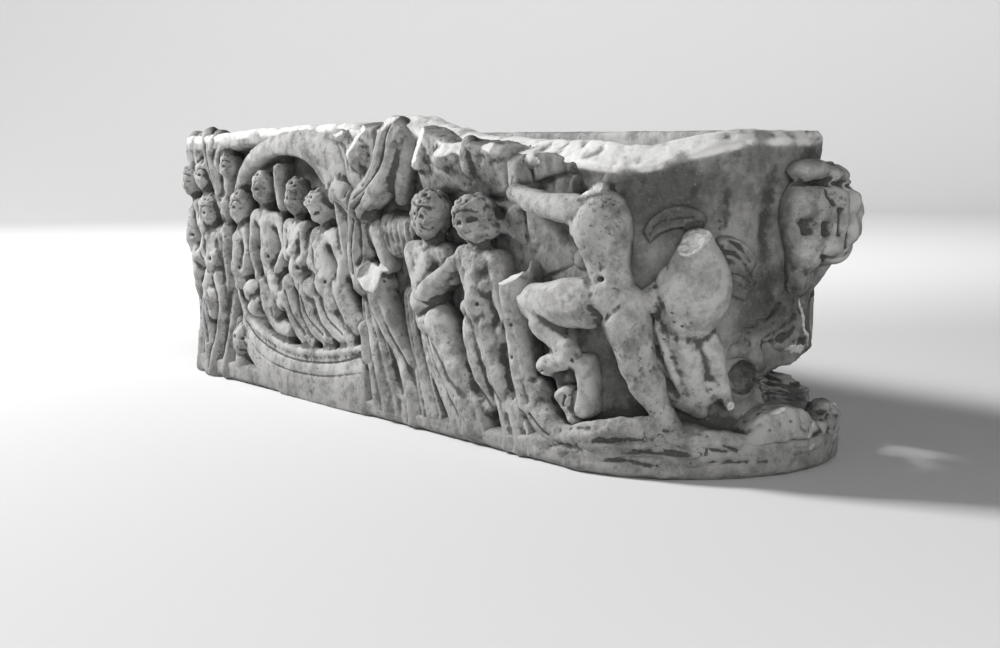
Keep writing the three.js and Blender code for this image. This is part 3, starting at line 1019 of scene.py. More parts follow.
# The nude youth who strides up on a rock: head, left arm and right forearm are gone.
STRIDING_YOUTH = Relief(
    name="striding_youth",
    voxel=2.5,
    bodies=(
        Body.posed(
            ATHLETE, yoke=(876, 468, 36), free=("hipR",),
            spine=((870, 494, 38), (878, 428, 34), (884, 366, 32), (888, 318, 34)),
            right_arm=((822, 470, 42), (745, 474, 48), (655, 492, 42)),
            right_leg=((852, 304, 40), (716, 298, 54), (812, 208, 46), (738, 182, 50)),
            left_leg=((908, 304, 34), (932, 198, 46), (966, 112, 36), (984, 84, 40)),
        ),
    ),
    shapes=(
        # The webs of stone that tie the body to the rim.
        member([(878, 490, 36, 18), (876, 504, 26, 11), (874, 516, 12, 12), (872, 524, -8, 20)], 0.7),
        member([(812, 482, 30, 12), (806, 500, 20, 8), (798, 514, 10, 10), (794, 524, -8, 18)], 0.7),
        sheet(
            [(628, 470, 36), (624, 510, 40), (612, 548, 34), (604, 572, 14)],
            [(676, 482, 40), (652, 515, 34), (646, 548, 26), (662, 568, 8)],
        ),
        # Shoulders, chest and belly.
        member([(884, 452, 38, 24), (852, 462, 42, 25), (815, 470, 45, 23),
                (776, 474, 47, 21)], root=Root.FREE),
        member([(876, 454, 36, 26), (896, 448, 36, 26), (908, 440, 33, 23)], root=Root.FREE),
        lump((860, 434, 54), (28, 24, 18), lean=-14, root=False),
        lump((904, 440, 48), (26, 24, 18), lean=-8, root=False),
        lump((886, 346, 46), (32, 38, 20), root=False),
        # The rock and the stump that carry its foot.
        member([(826, 196, 34, 19), (832, 156, 32, 17), (826, 112, 30, 22)], 0.85, 3, 0.1),
        lump((786, 128, 36), (24, 22, 24), rough=0.25, seed=3),
        member([(758, 168, 28, 15), (778, 122, 26, 17), (800, 96, 26, 22)], 0.85, 3, 0.12),
        lump((742, 178, 44), (26, 15, 17)),
    ),
    # Navel, the lines of the chest, ribs and groin, and the knee.
    cuts=(
        hole(884, 350, 16, 5.5),
        Groove(((838, 398, 2), (866, 406, 3), (896, 424, 2)), 7),
        Groove(((882, 404, 1), (884, 380, 3), (885, 360, 2)), 8),
        Groove(((842, 326, 2), (866, 302, 5), (886, 284, 7)), 7),
        Groove(((926, 330, 2), (912, 304, 4), (896, 284, 6)), 7),
        Groove(((690, 268, 4), (712, 262, 5), (730, 266, 4)), 6),
        Groove(((792, 118, 12), (798, 132, 12)), 6),
        Groove(((736, 172, 6), (748, 176, 6)), 4),
    ),
    # The neck and the right knee-cap.
    breaks=(
        Break((866, 500, 48), (-0.15, 0.92, 0.35), 24, rough=4.0),
        Break((686, 296, 62), (-0.85, 0.15, 0.5), 30, rough=1.6),
    ),
)


# The spread wing in low relief on the ground behind the youth.
YOUTH_WING = Relief(
    name="youth_wing",
    wear=0.7,
    # Two fans of long feathers, and the short ones over them.
    shapes=(
        *wing((800, 376, -6, 26), (624, 478, 2), (650, 336, 0), 9, 12, 6),
        *wing((770, 440, -4, 20), (640, 452, 6), (646, 398, 5), 4, 10, 4),
        *wing((790, 540, -2, 16), (670, 560, 6), (664, 516, 4), 4, 10, 6),
    ),
)


# The sunken figure beside the youth: a broken trunk, cloth over its thigh, and the wings above it.
FALLEN_FIGURE = Relief(
    name="fallen_figure",
    voxel=2.5,
    shapes=(
        # The trunk.
        member([(1016, 414, 40, 30), (1016, 380, 44, 50), (1014, 332, 44, 60),
                (1004, 290, 36, 52)], 0.85, sides=30),
        lump((986, 338, 42), (36, 42, 34)),
        member([(985, 336, 38, 32), (958, 318, 32, 28), (934, 306, 24, 24)]),
        # The drapery over its thigh.
        member([(978, 270, 28, 34), (996, 238, 30, 46), (1010, 196, 28, 48),
                (1020, 158, 22, 42)], 0.6, 7, 0.1),
        member([(1024, 262, 34, 20), (1038, 222, 40, 18), (1048, 178, 38, 14), (1066, 124, 28, 8)]),
        member([(1000, 200, 40, 12), (1022, 176, 42, 12), (1050, 150, 38, 10)], 0.85, 3, 0.1),
        # Cloth.
        member([(944, 262, 16, 18), (968, 238, 20, 18), (1000, 222, 24, 15)], 0.85, 3, 0.14),
        member([(948, 212, 14, 18), (982, 188, 18, 18), (1012, 160, 20, 14)], 0.85, 3, 0.14),
        member([(958, 160, 14, 20), (990, 140, 18, 18), (1024, 118, 18, 14)], 0.85, 4, 0.14),
        # Wings.
        sheet(
            [(940, 404, 10), (958, 424, 15), (982, 432, 14), (1010, 436, 10), (1034, 438, 5)],
            [(926, 428, 8), (948, 458, 17), (980, 476, 19), (1010, 474, 14), (1040, 456, 5)],
            2.0, 3.0, 2.5,
        ),
        sheet(
            [(1030, 372, 12), (1056, 378, 12), (1086, 372, 9), (1112, 352, 4)],
            [(1034, 412, 14), (1064, 424, 18), (1096, 408, 13), (1122, 372, 5)],
            2.0, 3.0, 3.0,
        ),
        member([(1040, 362, 8, 12), (1066, 362, 10, 14), (1092, 346, 7, 12), (1112, 332, 2, 7)], 0.5),
        member([(1044, 336, 5, 11), (1070, 332, 7, 12), (1096, 316, 4, 9)], 0.5),
    ),
    # Folds and feather lines.
    cuts=(
        Groove(((1050, 420, 3), (1078, 406, 4), (1100, 378, 3)), 4),
        Groove(((1046, 396, 3), (1072, 392, 4), (1094, 372, 3)), 4),
        Groove(((944, 426, 3), (962, 448, 5), (1010, 456, 4)), 4),
        Groove(((1052, 358, 3), (1080, 356, 4), (1104, 340, 3)), 4),
        Groove(((980, 292, 2), (1000, 270, 5), (1034, 264, 2)), 9),
        Groove(((1010, 250, 1), (1024, 210, 4), (1030, 160, 3)), 7),
        Groove(((976, 240, 1), (990, 190, 4), (1000, 150, 2)), 7),
        Groove(((940, 330, 3), (960, 340, 6), (976, 372, 3)), 6),
    ),
    # The trunk's sheared top and the broken point of cloth under it.
    breaks=(
        Break((1008, 406, 66), (-0.30, 0.80, 0.52), 44, rough=5.0),
        Break((1066, 124, 32), (0.3, -0.5, 0.8), 24),
    ),
)


@dataclass
class AnimalMask(Relief):
    """A lion's mask at a rounded end. `side` is 1 at the near end, -1 at the far one, which is plainer."""

    name: str = "near_mask"
    voxel: float = 2.8
    fillet: float = 2.5
    polish: int = 9
    side: float = 1.0
    bold: float = 1.0

    # Lumps from cheek to jaw, then the crown: place, half sizes and how rough.
    LUMPS = (
        ((1212, 448, 20), (60, 80, 54), 0.05),
        ((1244, 444, 40), (60, 70, 50), 0.05),
        ((1286, 448, 40), (46, 62, 50), 0.05),
        ((1204, 398, 22), (42, 46, 36), 0.06),
        ((1252, 400, 46), (46, 38, 36), 0.05),
        ((1230, 478, 62), (15, 40, 26), 0.04),
        ((1262, 474, 66), (16, 40, 26), 0.04),
        ((1186, 462, 52), (24, 11, 14), 0.10),
        ((1190, 406, 40), (24, 17, 18), 0.12),
        ((1224, 396, 66), (28, 14, 16), 0.12),
        ((1252, 424, 84), (16, 20, 12), 0.12),
        ((1204, 346, 8), (32, 40, 26), 0.16),
        ((1222, 314, -2), (26, 30, 22), 0.22),
        ((1196, 532, 36), (38, 20, 32), 0.08),
        ((1244, 528, 40), (34, 19, 30), 0.08),
        ((1290, 520, 30), (30, 20, 28), 0.10),
    )

    # Two drill holes beside the nose, then the mouth, the flowing lines, eye, crown and jowl: width, and
    # then s, z and depth at each stop.
    LINES = (
        (10, (1178, 440, 20), (1182, 426, 24)),
        (8, (1202, 438, 20), (1204, 424, 22)),
        (8, (1210, 384, 6), (1234, 376, 12), (1258, 384, 6)),
        (5, (1222, 462, 16), (1222, 440, 24), (1222, 420, 14)),
        (5, (1214, 506, 10), (1208, 486, 14), (1214, 470, 6)),
        (5, (1262, 506, 10), (1248, 488, 18), (1242, 456, 20), (1236, 420, 16), (1242, 394, 8)),
        (5, (1286, 496, 12), (1276, 464, 18), (1262, 436, 20), (1262, 410, 10)),
        (6, (1290, 440, 22), (1296, 426, 22)),
        (5, (1302, 466, 10), (1310, 430, 14), (1300, 400, 10)),
        (7, (1176, 506, 16), (1206, 510, 26), (1236, 506, 26), (1266, 500, 20)),
        (9, (1228, 546, 20), (1250, 540, 26), (1268, 544, 16)),
        (6, (1160, 400, 6), (1176, 350, 12), (1190, 318, 10)),
    )
    FAR_LINES = 3

    def at(self, *stops: Stop) -> list[Stop]:
        """Stops mirrored to this mask's end and set as far out as it is bold."""
        return [(self.side * s, z, d * self.bold, half) for s, z, d, half in stops]

    def ball(self, place: Place, halves: Place, rough: float) -> Surface:
        """A lump of the mask."""
        s, z, d = place
        wide, high, deep = halves
        halves = (wide, high, deep * self.bold)
        return lump((self.side * s, z, d * self.bold), halves, rough=rough, seed=int(s))

    def masses(self) -> list[Surface]:
        """Cheek and muzzle in one broad swell, with ear, brow, nose, jaw and the stumps of the mane."""
        mane = [
            member(
                self.at((1312, 500, 18, 20), (1326, 440, 20, 22), (1316, 384, 12, 18), (1300, 344, 0, 14)),
                0.8,
            ),
            member(self.at((1266, 374, 28, 18), (1264, 346, 14, 16), (1254, 318, 0, 12))),
        ]
        return [*(self.ball(*row) for row in self.LUMPS), *mane]

    def cut(self, width: float, *stops: Place) -> Groove:
        """A groove mirrored to this mask's end."""
        return Groove(tuple((self.side * s, z, depth * self.bold) for s, z, depth in stops), width)

    def grooves(self) -> list[Groove]:
        """All the lines at the near end, and the first few at the far one."""
        cuts = [self.cut(*row) for row in self.LINES]
        return cuts if self.side > 0 else cuts[: self.FAR_LINES]


# The lopped tree between the children and the youth, and its roots.
BROKEN_TREE = Relief(
    name="broken_tree",
    voxel=2.5,
    # Trunk, spur and roots.
    shapes=(
        member([(636, 322, 44, 31), (640, 284, 46, 28), (646, 225, 46, 24), (658, 160, 44, 26),
                (678, 112, 40, 32)], 0.9),
        member([(654, 312, 26, 17), (662, 334, 24, 11), (664, 352, 22, 6), (663, 366, 20, 3)]),
        member([(664, 150, 40, 26), (694, 100, 38, 32), (732, 68, 36, 32),
                (772, 52, 34, 24)], 0.85, 5, 0.06),
        member([(664, 120, 36, 24), (646, 80, 34, 22), (630, 48, 30, 20)], 0.85, 4, 0.1),
        lump((690, 130, 38), (32, 28, 26), rough=0.2, seed=5),
        lump((722, 92, 38), (28, 20, 22), rough=0.2, seed=6),
        lump((640, 96, 34), (30, 24, 24), rough=0.2, seed=7),
    ),
    # Bark and knots.
    cuts=(
        Groove(((654, 290, 1), (656, 240, 3), (668, 170, 3), (694, 110, 3)), 6),
        Groove(((700, 90, 5), (740, 62, 6), (770, 50, 4)), 4),
        hole(652, 250, 6, 5),
        hole(650, 190, 6, 5),
    ),
    # The sheared top.
    breaks=(
        Break((624, 330, 56), (-0.12, 0.93, 0.34), 38, rough=1.6),
    ),
)


# The two standing children, the nearer one's arm across to the other, their cloth and wing.
STANDING_CHILDREN = Relief(
    name="standing_children",
    voxel=2.6,
    heads=(
        Head((342, 440, 44), (36, 48, 40), yaw=44, nod=8, lean=6),
        Head((516, 438, 46), (43, 45, 42), yaw=26, nod=6, lean=-14),
    ),
    bodies=(
        Body.posed(
            CHILD, 1.18,
            spine=((318, 386, 32), (312, 342, 30), (306, 286, 30), (312, 236, 30)),
            right_arm=((262, 366, 42), (318, 284, 58), (438, 352, 56)),
            left_arm=((376, 366, 30), (400, 322, 30)),
            left_leg=((350, 232, 36), (404, 176, 46), (472, 78, 38), (508, 48, 38)),
        ),
        Body.posed(
            CHILD, 1.12,
            spine=((504, 388, 32), (506, 348, 30), (510, 296, 28), (520, 248, 26)),
            right_arm=((450, 366, 36), (490, 302, 44), (550, 316, 48)),
            left_arm=((560, 362, 28), (572, 300, 34), (592, 256, 34)),
            right_leg=((486, 236, 30), (494, 170, 36), (520, 84, 26)),
            left_leg=((530, 236, 30), (546, 176, 34), (588, 84, 30)),
        ),
    ),
    shapes=(
        # Cloth.
        sheet(
            [(236, 262, 22), (256, 180, 34), (312, 104, 42), (372, 50, 50), (412, -14, 57)],
            [(336, 262, 34), (382, 214, 44), (440, 150, 50), (508, 84, 52), (566, -14, 57)],
            12.0, 2.0, 3.0, 0.8,
        ),
        sheet(
            [(140, 300, 8), (164, 200, 18), (206, 100, 30), (262, -14, 57)],
            [(236, 300, 14), (262, 200, 26), (306, 110, 34), (396, -14, 57)],
            6.0, 5.0, 3.0, 1.0,
        ),
        sheet(
            [(464, 196, 18), (504, 124, 28), (548, 60, 40), (572, -14, 57)],
            [(604, 230, 14), (640, 140, 28), (680, 64, 42), (706, -14, 57)],
            8.0, 3.0, 4.0, 1.2,
        ),
        lump((470, 268, 42), (24, 18, 18)),
        lump((560, 230, 26), (30, 26, 20), rough=0.15, seed=8),
        # Wings.
        sheet(
            [(112, 446, 34), (108, 412, 40), (114, 376, 36), (128, 344, 28)],
            [(246, 440, 22), (246, 408, 26), (238, 372, 22), (226, 336, 14)],
            4.0, 7.0, 4.0, 0.3,
        ),
        *wing((560, 430, 6, 24), (622, 470, 8), (620, 400, 6), 4, 12, 4),
    ),
    # Navels, the furrows of the cloth and the lines under the necks.
    cuts=(
        hole(336, 268, 9, 5),
        hole(530, 280, 8, 5),
        Groove(((300, 230, 2), (330, 160, 6), (392, 90, 6), (450, 40, 3)), 7),
        Groove(((446, 250, 5), (446, 200, 10), (486, 130, 10), (540, 60, 5)), 8),
        Groove(((240, 250, 4), (246, 180, 8), (290, 90, 6), (330, 40, 3)), 8),
        Groove(((262, 264, 6), (300, 240, 8), (350, 262, 5)), 7),
        Groove(((300, 400, 4), (330, 392, 7), (362, 396, 5)), 6),
        Groove(((480, 404, 4), (508, 394, 7), (540, 398, 5)), 6),
    ),
    # The wing's broken tips.
    breaks=(
        Break((116, 440, 40), (-0.6, 0.6, 0.5), 26, rough=1.8),
    ),
)


# The draped figure whose cloak hangs in a thick roll from the rim, with its knee broken off.
CLOAKED_FIGURE = Relief(
    name="cloaked_figure",
    voxel=2.6,
    shapes=(
        # The cloak.
        member(
            [
                (196, 606, 26, 42), (190, 585, 40, 40), (180, 552, 46, 34), (160, 520, 54, 30),
                (118, 484, 56, 30), (70, 462, 54, 30), (30, 430, 46, 26), (34, 396, 44, 20),
            ],
            0.75, 6, 0.09,
        ),
        member([(236, 600, 18, 22), (228, 560, 24, 22), (206, 515, 26, 20),
                (192, 470, 24, 18)], 0.8, 4, 0.12),
        member([(146, 600, 26, 20), (120, 560, 30, 18), (90, 525, 28, 16)], 0.8, 3, 0.12),
        # Trunk, knee, leg and the drapery over it.
        member([(64, 456, 30, 34), (36, 404, 30, 44), (26, 340, 30, 46), (32, 290, 30, 40)], 0.8, 5, 0.06),
        member([(40, 302, 32, 36), (66, 306, 40, 32), (98, 292, 50, 28)], 0.95),
        member([(96, 290, 46, 28), (114, 245, 42, 28), (144, 200, 38, 26), (180, 160, 34, 22),
                (212, 130, 30, 18)], 0.85),
        sheet(
            [(-12, 310, 14), (-2, 210, 26), (26, 110, 38), (60, -14, 48)],
            [(76, 300, 32), (104, 214, 40), (156, 124, 44), (226, -14, 57)],
            12.0, 3.0, 4.0, 1.0,
        ),
        sheet(
            [(84, 190, 20), (126, 126, 32), (174, 66, 44), (204, -14, 57)],
            [(166, 216, 18), (214, 146, 30), (258, 76, 44), (286, -14, 57)],
            9.0, 2.0, 3.0, 1.0,
        ),
        member([(90, 404, 30, 24), (116, 366, 30, 22), (126, 326, 26, 18)], 0.8),
    ),
    # Furrows of the cloak and of the drapery over the leg.
    cuts=(
        Groove(((206, 622, 5), (198, 570, 8), (172, 526, 9), (124, 492, 9), (74, 470, 8)), 5),
        Groove(((176, 610, 4), (172, 570, 7), (146, 520, 7), (112, 494, 5)), 5),
        Groove(((150, 506, 5), (104, 470, 8), (60, 446, 7)), 5),
        Groove(((128, 250, 3), (150, 200, 8), (196, 140, 10), (262, 60, 6)), 8),
        Groove(((44, 420, 5), (28, 360, 7), (30, 310, 6)), 6),
        Groove(((60, 440, 4), (56, 380, 6), (52, 330, 5)), 6),
        Groove(((64, 270, 5), (84, 220, 10), (122, 156, 10), (190, 70, 6)), 7),
    ),
    # The knee and the top of the roll.
    breaks=(
        Break((106, 292, 60), (0.25, 0.45, 0.86), 48, rough=1.0),
        Break((190, 622, 50), (0.0, 0.75, 0.66), 60, rough=2.5),
    ),
)


@dataclass
class BrokenRim(Relief):
    """The shattered stretch of rim over the children and beside the cloak, left in slanting facets."""

    name: str = "broken_rim"
    wear: float = 1.7
    # The facets, each a plane facing up and out.
    breaks: tuple[Break, ...] = (
        Break((-30, 606, 50), (0.1, 0.5, 0.85), 60, rough=1.4),
        Break((60, 600, 44), (-0.3, 0.5, 0.8), 60, rough=1.4),
        Break((320, 580, 50), (-0.4, 0.3, 0.85), 70, rough=1.4),
        Break((400, 575, 48), (0.2, 0.45, 0.87), 70, rough=1.4),
        Break((520, 585, 44), (0.1, 0.5, 0.85), 60, rough=1.4),
    )

    def masses(self) -> list[Surface]:
        """Slanting slabs: each runs from a low line to a high one, with its own d at every stop."""
        slabs = (
            (
                [(-40, 452, 24), (0, 440, 28), (50, 448, 26), (110, 486, 26)],
                [(-70, 618, 44), (0, 624, 46), (60, 628, 42), (120, 628, 40)],
            ),
            (
                [(262, 480, 12), (300, 474, 22), (340, 478, 26), (400, 488, 22), (440, 500, 18)],
                [(246, 618, 40), (300, 620, 46), (350, 612, 46), (405, 592, 46), (462, 586, 46)],
            ),
            (
                [(400, 486, 22), (450, 478, 12), (520, 474, 9), (570, 484, 14), (606, 498, 22)],
                [(410, 586, 44), (460, 592, 46), (520, 590, 44), (580, 588, 40), (640, 580, 32)],
            ),
        )
        heaps = (
            ((300, 560, 36), (34, 30, 20)),
            ((404, 560, 36), (38, 22, 20)),
            ((474, 560, 26), (16, 40, 22)),
            ((40, 560, 34), (40, 34, 20)),
            ((-40, 596, 36), (44, 18, 18)),
            ((560, 570, 26), (46, 16, 20)),
        )
        rough = [lump(place, halves, rough=0.3, seed=60 + i) for i, (place, halves) in enumerate(heaps)]
        return [*(sheet(low, high, 3.0) for low, high in slabs), *rough]


# The boat's upper edge, from its prow.
GUNWALE = (
    (-624, 240, 34), (-606, 206, 40), (-548, 162, 46), (-440, 128, 48),
    (-300, 112, 50), (-130, 120, 50), (5, 142, 44), (56, 158, 26),
)


# The crew under the billowing veil, the boat that carries them, and the sea creature at its prow.
BOAT_AND_VEIL = Relief(
    name="boat_and_veil",
    voxel=2.7,
    keep=0.4,
    heads=(
        Head((-572, 430, 40), (28, 38, 32), yaw=40, nod=6, lean=8),
        Head((-440, 478, 38), (27, 38, 31), yaw=44, nod=6, lean=-6),
        Head((-268, 462, 38), (28, 40, 32), yaw=30, nod=12, lean=10),
        Head((-138, 440, 40), (32, 42, 34), yaw=14, nod=26, lean=-16),
    ),
    bodies=(
        Body.posed(
            CHILD, 0.88,
            spine=((-590, 398, 26), (-594, 350, 30), (-598, 300, 32), (-600, 256, 28)),
            left_arm=((-556, 380, 34), (-538, 322, 44), (-566, 276, 46)),
        ),
        Body.posed(
            CHILD, 0.86,
            spine=((-452, 438, 32), (-430, 392, 34), (-420, 338, 34), (-424, 288, 32)),
            right_arm=((-494, 412, 38), (-506, 336, 46), (-484, 268, 46)),
            left_arm=((-368, 404, 30), (-344, 340, 36), (-372, 296, 48)),
            left_leg=((-404, 280, 36), (-378, 236, 46), (-400, 164, 40)),
        ),
        Body.posed(
            CHILD, 0.88,
            spine=((-276, 414, 30), (-280, 366, 32), (-270, 316, 34), (-256, 270, 32)),
            right_arm=((-326, 396, 34), (-318, 326, 44), (-262, 352, 56)),
            left_arm=((-232, 394, 38), (-222, 326, 48), (-276, 306, 54)),
            left_leg=((-240, 258, 34), (-200, 212, 42)),
        ),
        Body.posed(
            CHILD, 1.0,
            spine=((-132, 396, 32), (-140, 350, 34), (-124, 296, 36), (-96, 246, 34)),
            right_arm=((-186, 380, 32), (-196, 318, 44), (-150, 300, 52)),
            left_arm=((-88, 384, 38), (-42, 322, 44), (-66, 262, 46)),
        ),
    ),
    shapes=(
        # The veil.
        sheet(
            [
                (-600, 400, 30), (-585, 432, 40), (-548, 482, 46), (-480, 522, 50), (-385, 546, 52),
                (-290, 552, 54), (-205, 540, 54), (-150, 508, 50), (-116, 462, 42), (-104, 416, 32),
            ],
            [
                (-640, 396, 20), (-644, 432, 24), (-614, 494, 30), (-524, 560, 40), (-402, 598, 44),
                (-270, 616, 46), (-134, 616, 46), (-36, 582, 42), (-10, 516, 36), (-22, 450, 28),
            ],
            9.0, 1.0, 1.5,
        ),
        member([(-84, 470, 34, 22), (-50, 482, 42, 26), (-14, 466, 42, 24), (4, 430, 34, 18),
                (0, 392, 26, 14)], 0.8),
        member([(-60, 450, 36, 18), (-40, 410, 40, 20), (-34, 360, 36, 20),
                (-30, 310, 30, 18)], 0.8, 4, 0.12),
        # The raised arm.
        member([(-356, 440, 30, 17), (-366, 486, 34, 15), (-356, 526, 40, 13)], 0.9),
        # The boat.
        sheet(
            [
                (-610, 118, 30), (-584, 66, 42), (-506, 30, 52), (-370, -14, 57),
                (-260, -14, 57), (-150, -14, 57), (20, -14, 57), (104, -14, 44),
            ],
            GUNWALE, 7.0,
        ),
        member([(s, z, d + 1, 8.5) for s, z, d in GUNWALE], 0.9),
        member([(-626, 236, 32, 15), (-636, 280, 28, 15), (-650, 306, 24, 11)], 0.9),
        member([(40, 128, 38, 20), (42, 160, 42, 18), (36, 188, 40, 17)], 0.9),
        lump((36, 190, 44), (19, 17, 16)),
        # Cloth.
        member([(-248, 250, 32, 30), (-222, 206, 38, 30), (-180, 172, 38, 28),
                (-126, 148, 34, 22)], 0.85, 6, 0.1),
        member([(-166, 246, 32, 32), (-134, 210, 38, 32), (-84, 178, 36, 28),
                (-30, 158, 32, 24)], 0.85, 6, 0.1),
        member([(-70, 270, 34, 32), (-40, 226, 36, 30), (0, 196, 34, 26)], 0.85, 5, 0.1),
        member([(-336, 262, 30, 30), (-316, 206, 34, 30), (-276, 162, 36, 26),
                (-220, 138, 34, 22)], 0.85, 6, 0.1),
        member([(-462, 252, 30, 28), (-446, 206, 34, 28), (-404, 168, 36, 26),
                (-350, 146, 34, 20)], 0.85, 5, 0.1),
        lump((-530, 236, 40), (32, 26, 26), rough=0.16, seed=11),
        lump((-500, 196, 42), (34, 26, 26), rough=0.16, seed=12),
        lump((-190, 262, 46), (34, 24, 24), rough=0.16, seed=13),
        lump((-350, 224, 44), (30, 24, 22), rough=0.16, seed=14),
        # The sea creature.
        lump((-606, 104, 30), (40, 46, 36), rough=0.16, seed=15),
        member([(-618, 88, 26, 34), (-622, 50, 26, 40), (-590, 22, 22, 34), (-540, 16, 20, 22)], 0.8),
        member([(-584, 120, 30, 16), (-560, 92, 30, 16), (-544, 60, 28, 14)], 0.85, 3, 0.15),
        member([(-640, 150, 26, 18), (-652, 110, 24, 20), (-656, 60, 22, 20)], 0.85, 3, 0.15),
    ),
    # The crew's navels first.
    cuts=(
        *(hole(s, z, 9, 5) for s, z in ((-578, 286), (-404, 322), (-250, 304), (-104, 282))),
        # The boat's planks.
        Groove(((-570, 158, 1), (-500, 122, 2.5), (-410, 100, 3), (-310, 90, 3), (-210, 92, 3),
                (-90, 104, 3), (30, 130, 2)), 2.5),
        Groove(((-560, 116, 1), (-480, 84, 1.5), (-380, 66, 2), (-260, 62, 2), (-120, 70, 2),
                (20, 92, 1)), 2.5),
        # Folds of veil and cloth.
        Groove(((-630, 440, 5), (-580, 512, 7), (-480, 572, 8), (-360, 606, 8), (-200, 622, 6)), 4),
        Groove(((-20, 560, 6), (2, 520, 8), (-4, 470, 5)), 4),
        Groove(((60, 460, 6), (66, 510, 8), (92, 560, 8), (104, 610, 4)), 4),
        Groove(((-240, 240, 5), (-208, 194, 8), (-150, 160, 6)), 4.5),
        Groove(((-144, 240, 5), (-110, 198, 8), (-56, 168, 6)), 4.5),
        Groove(((-330, 246, 5), (-300, 192, 8), (-246, 152, 6)), 4.5),
        Groove(((-30, 460, 5), (2, 430, 8), (10, 390, 5)), 5),
        # The sea creature's eyes and mouth.
        hole(-584, 112, 9, 5),
        hole(-612, 116, 9, 5),
        Groove(((-600, 84, 7), (-584, 84, 7)), 5),
    ),
)


# The crowded small figures, tree, arch and foliage round the far end.
FAR_END_GROUP = Relief(
    name="far_end_group",
    voxel=2.8,
    keep=0.42,
    heads=(
        Head((-766, 502, 42), (30, 36, 32), yaw=40, nod=2, lean=6),
        Head((-742, 414, 44), (30, 36, 32), yaw=40, nod=6, lean=-6),
        Head((-850, 486, 42), (30, 38, 32), yaw=30, nod=2, lean=4),
        Head((-640, 526, 32), (26, 32, 28), yaw=40, nod=4, lean=4),
    ),
    bodies=(
        Body.posed(
            CHILD, 0.85,
            spine=((-770, 462, 34), (-778, 430, 36), (-780, 396, 34)),
            left_arm=((-742, 452, 38), (-726, 412, 44), (-752, 388, 50)),
        ),
        Body.posed(
            CHILD, 0.95,
            spine=((-744, 376, 32), (-742, 346, 34), (-738, 310, 36), (-734, 272, 34)),
            right_arm=((-780, 366, 40), (-796, 322, 46), (-768, 290, 50)),
            left_arm=((-700, 366, 36), (-684, 322, 42)),
            right_leg=((-752, 266, 36), (-778, 228, 46), (-784, 156, 38)),
            left_leg=((-714, 264, 34), (-698, 220, 42), (-710, 156, 34)),
        ),
        Body.posed(
            CHILD, 0.92,
            spine=((-858, 440, 34), (-862, 404, 36), (-864, 362, 38), (-864, 320, 36)),
            left_arm=((-824, 430, 38), (-810, 384, 44)),
            left_leg=((-846, 308, 36), (-836, 258, 46), (-846, 176, 36)),
        ),
    ),
    shapes=(
        # The tree.
        member([(-768, 600, 24, 26), (-746, 572, 36, 24), (-722, 520, 38, 22), (-700, 462, 34, 19),
                (-690, 400, 28, 15)], 0.85, 4, 0.1),
        member([(-730, 560, 36, 17), (-706, 582, 38, 18), (-690, 600, 32, 19)], 0.85, 3, 0.1),
        member([(-806, 590, 26, 24), (-816, 556, 32, 22), (-808, 520, 32, 18)], 0.85, 4, 0.1),
        member([(-884, 594, 26, 24), (-888, 556, 32, 24), (-874, 522, 30, 18)], 0.85, 4, 0.1),
        # The arch.
        member([(-700, 500, 28, 15), (-694, 540, 34, 16), (-668, 568, 38, 16), (-636, 580, 40, 16),
                (-600, 586, 38, 16)], 0.85, 3, 0.08),
        member([(-658, 470, 26, 22), (-652, 496, 26, 24), (-644, 514, 26, 18)], 0.8),
        # The foliage.
        member([(-676, 370, 30, 22), (-664, 310, 34, 24), (-662, 250, 32, 22),
                (-680, 206, 32, 20)], 0.85, 4, 0.1),
        member([(-684, 230, 32, 24), (-704, 170, 34, 28), (-734, 110, 34, 28), (-764, 56, 38, 28),
                (-776, 12, 44, 28)], 0.85, 4, 0.12),
        member([(-650, 220, 24, 20), (-664, 160, 28, 20), (-684, 96, 34, 22),
                (-700, 20, 42, 28)], 0.8, 3, 0.15),
        member([(-806, 226, 32, 20), (-822, 170, 34, 24), (-818, 110, 34, 24), (-806, 56, 38, 26),
                (-800, 12, 44, 28)], 0.8, 4, 0.12),
        member([(-884, 320, 28, 24), (-900, 250, 32, 26), (-894, 170, 30, 26), (-882, 86, 34, 28),
                (-880, 14, 42, 30)], 0.8, 5, 0.12),
        lump((-706, 300, 42), (30, 28, 26), rough=0.18, seed=21),
        lump((-820, 300, 42), (28, 26, 26), rough=0.18, seed=22),
        lump((-752, 214, 42), (28, 24, 24), rough=0.18, seed=23),
        lump((-672, 424, 30), (26, 34, 22), rough=0.18, seed=24),
        # Plain upright folds.
        member([(-950, 590, 26, 26), (-958, 480, 30, 26), (-956, 360, 30, 26), (-950, 240, 28, 26),
                (-944, 110, 26, 26)], 0.7, 5, 0.08),
        member([(-1030, 560, 22, 24), (-1040, 440, 26, 26), (-1036, 300, 26, 26), (-1026, 160, 24, 26),
                (-1020, 40, 30, 26)], 0.65, 4, 0.08),
    ),
    # Drilled channels between the figures, and two navels.
    cuts=(
        Groove(((-708, 220, 5), (-726, 150, 7), (-756, 84, 6)), 4.5),
        Groove(((-748, 596, 5), (-730, 540, 7), (-706, 470, 6)), 4.5),
        Groove(((-890, 300, 5), (-900, 220, 7), (-884, 110, 6)), 5),
        Groove(((-812, 214, 5), (-822, 160, 7), (-808, 84, 6)), 4.5),
        hole(-726, 300, 9, 5),
        hole(-846, 352, 9, 5),
    ),
)


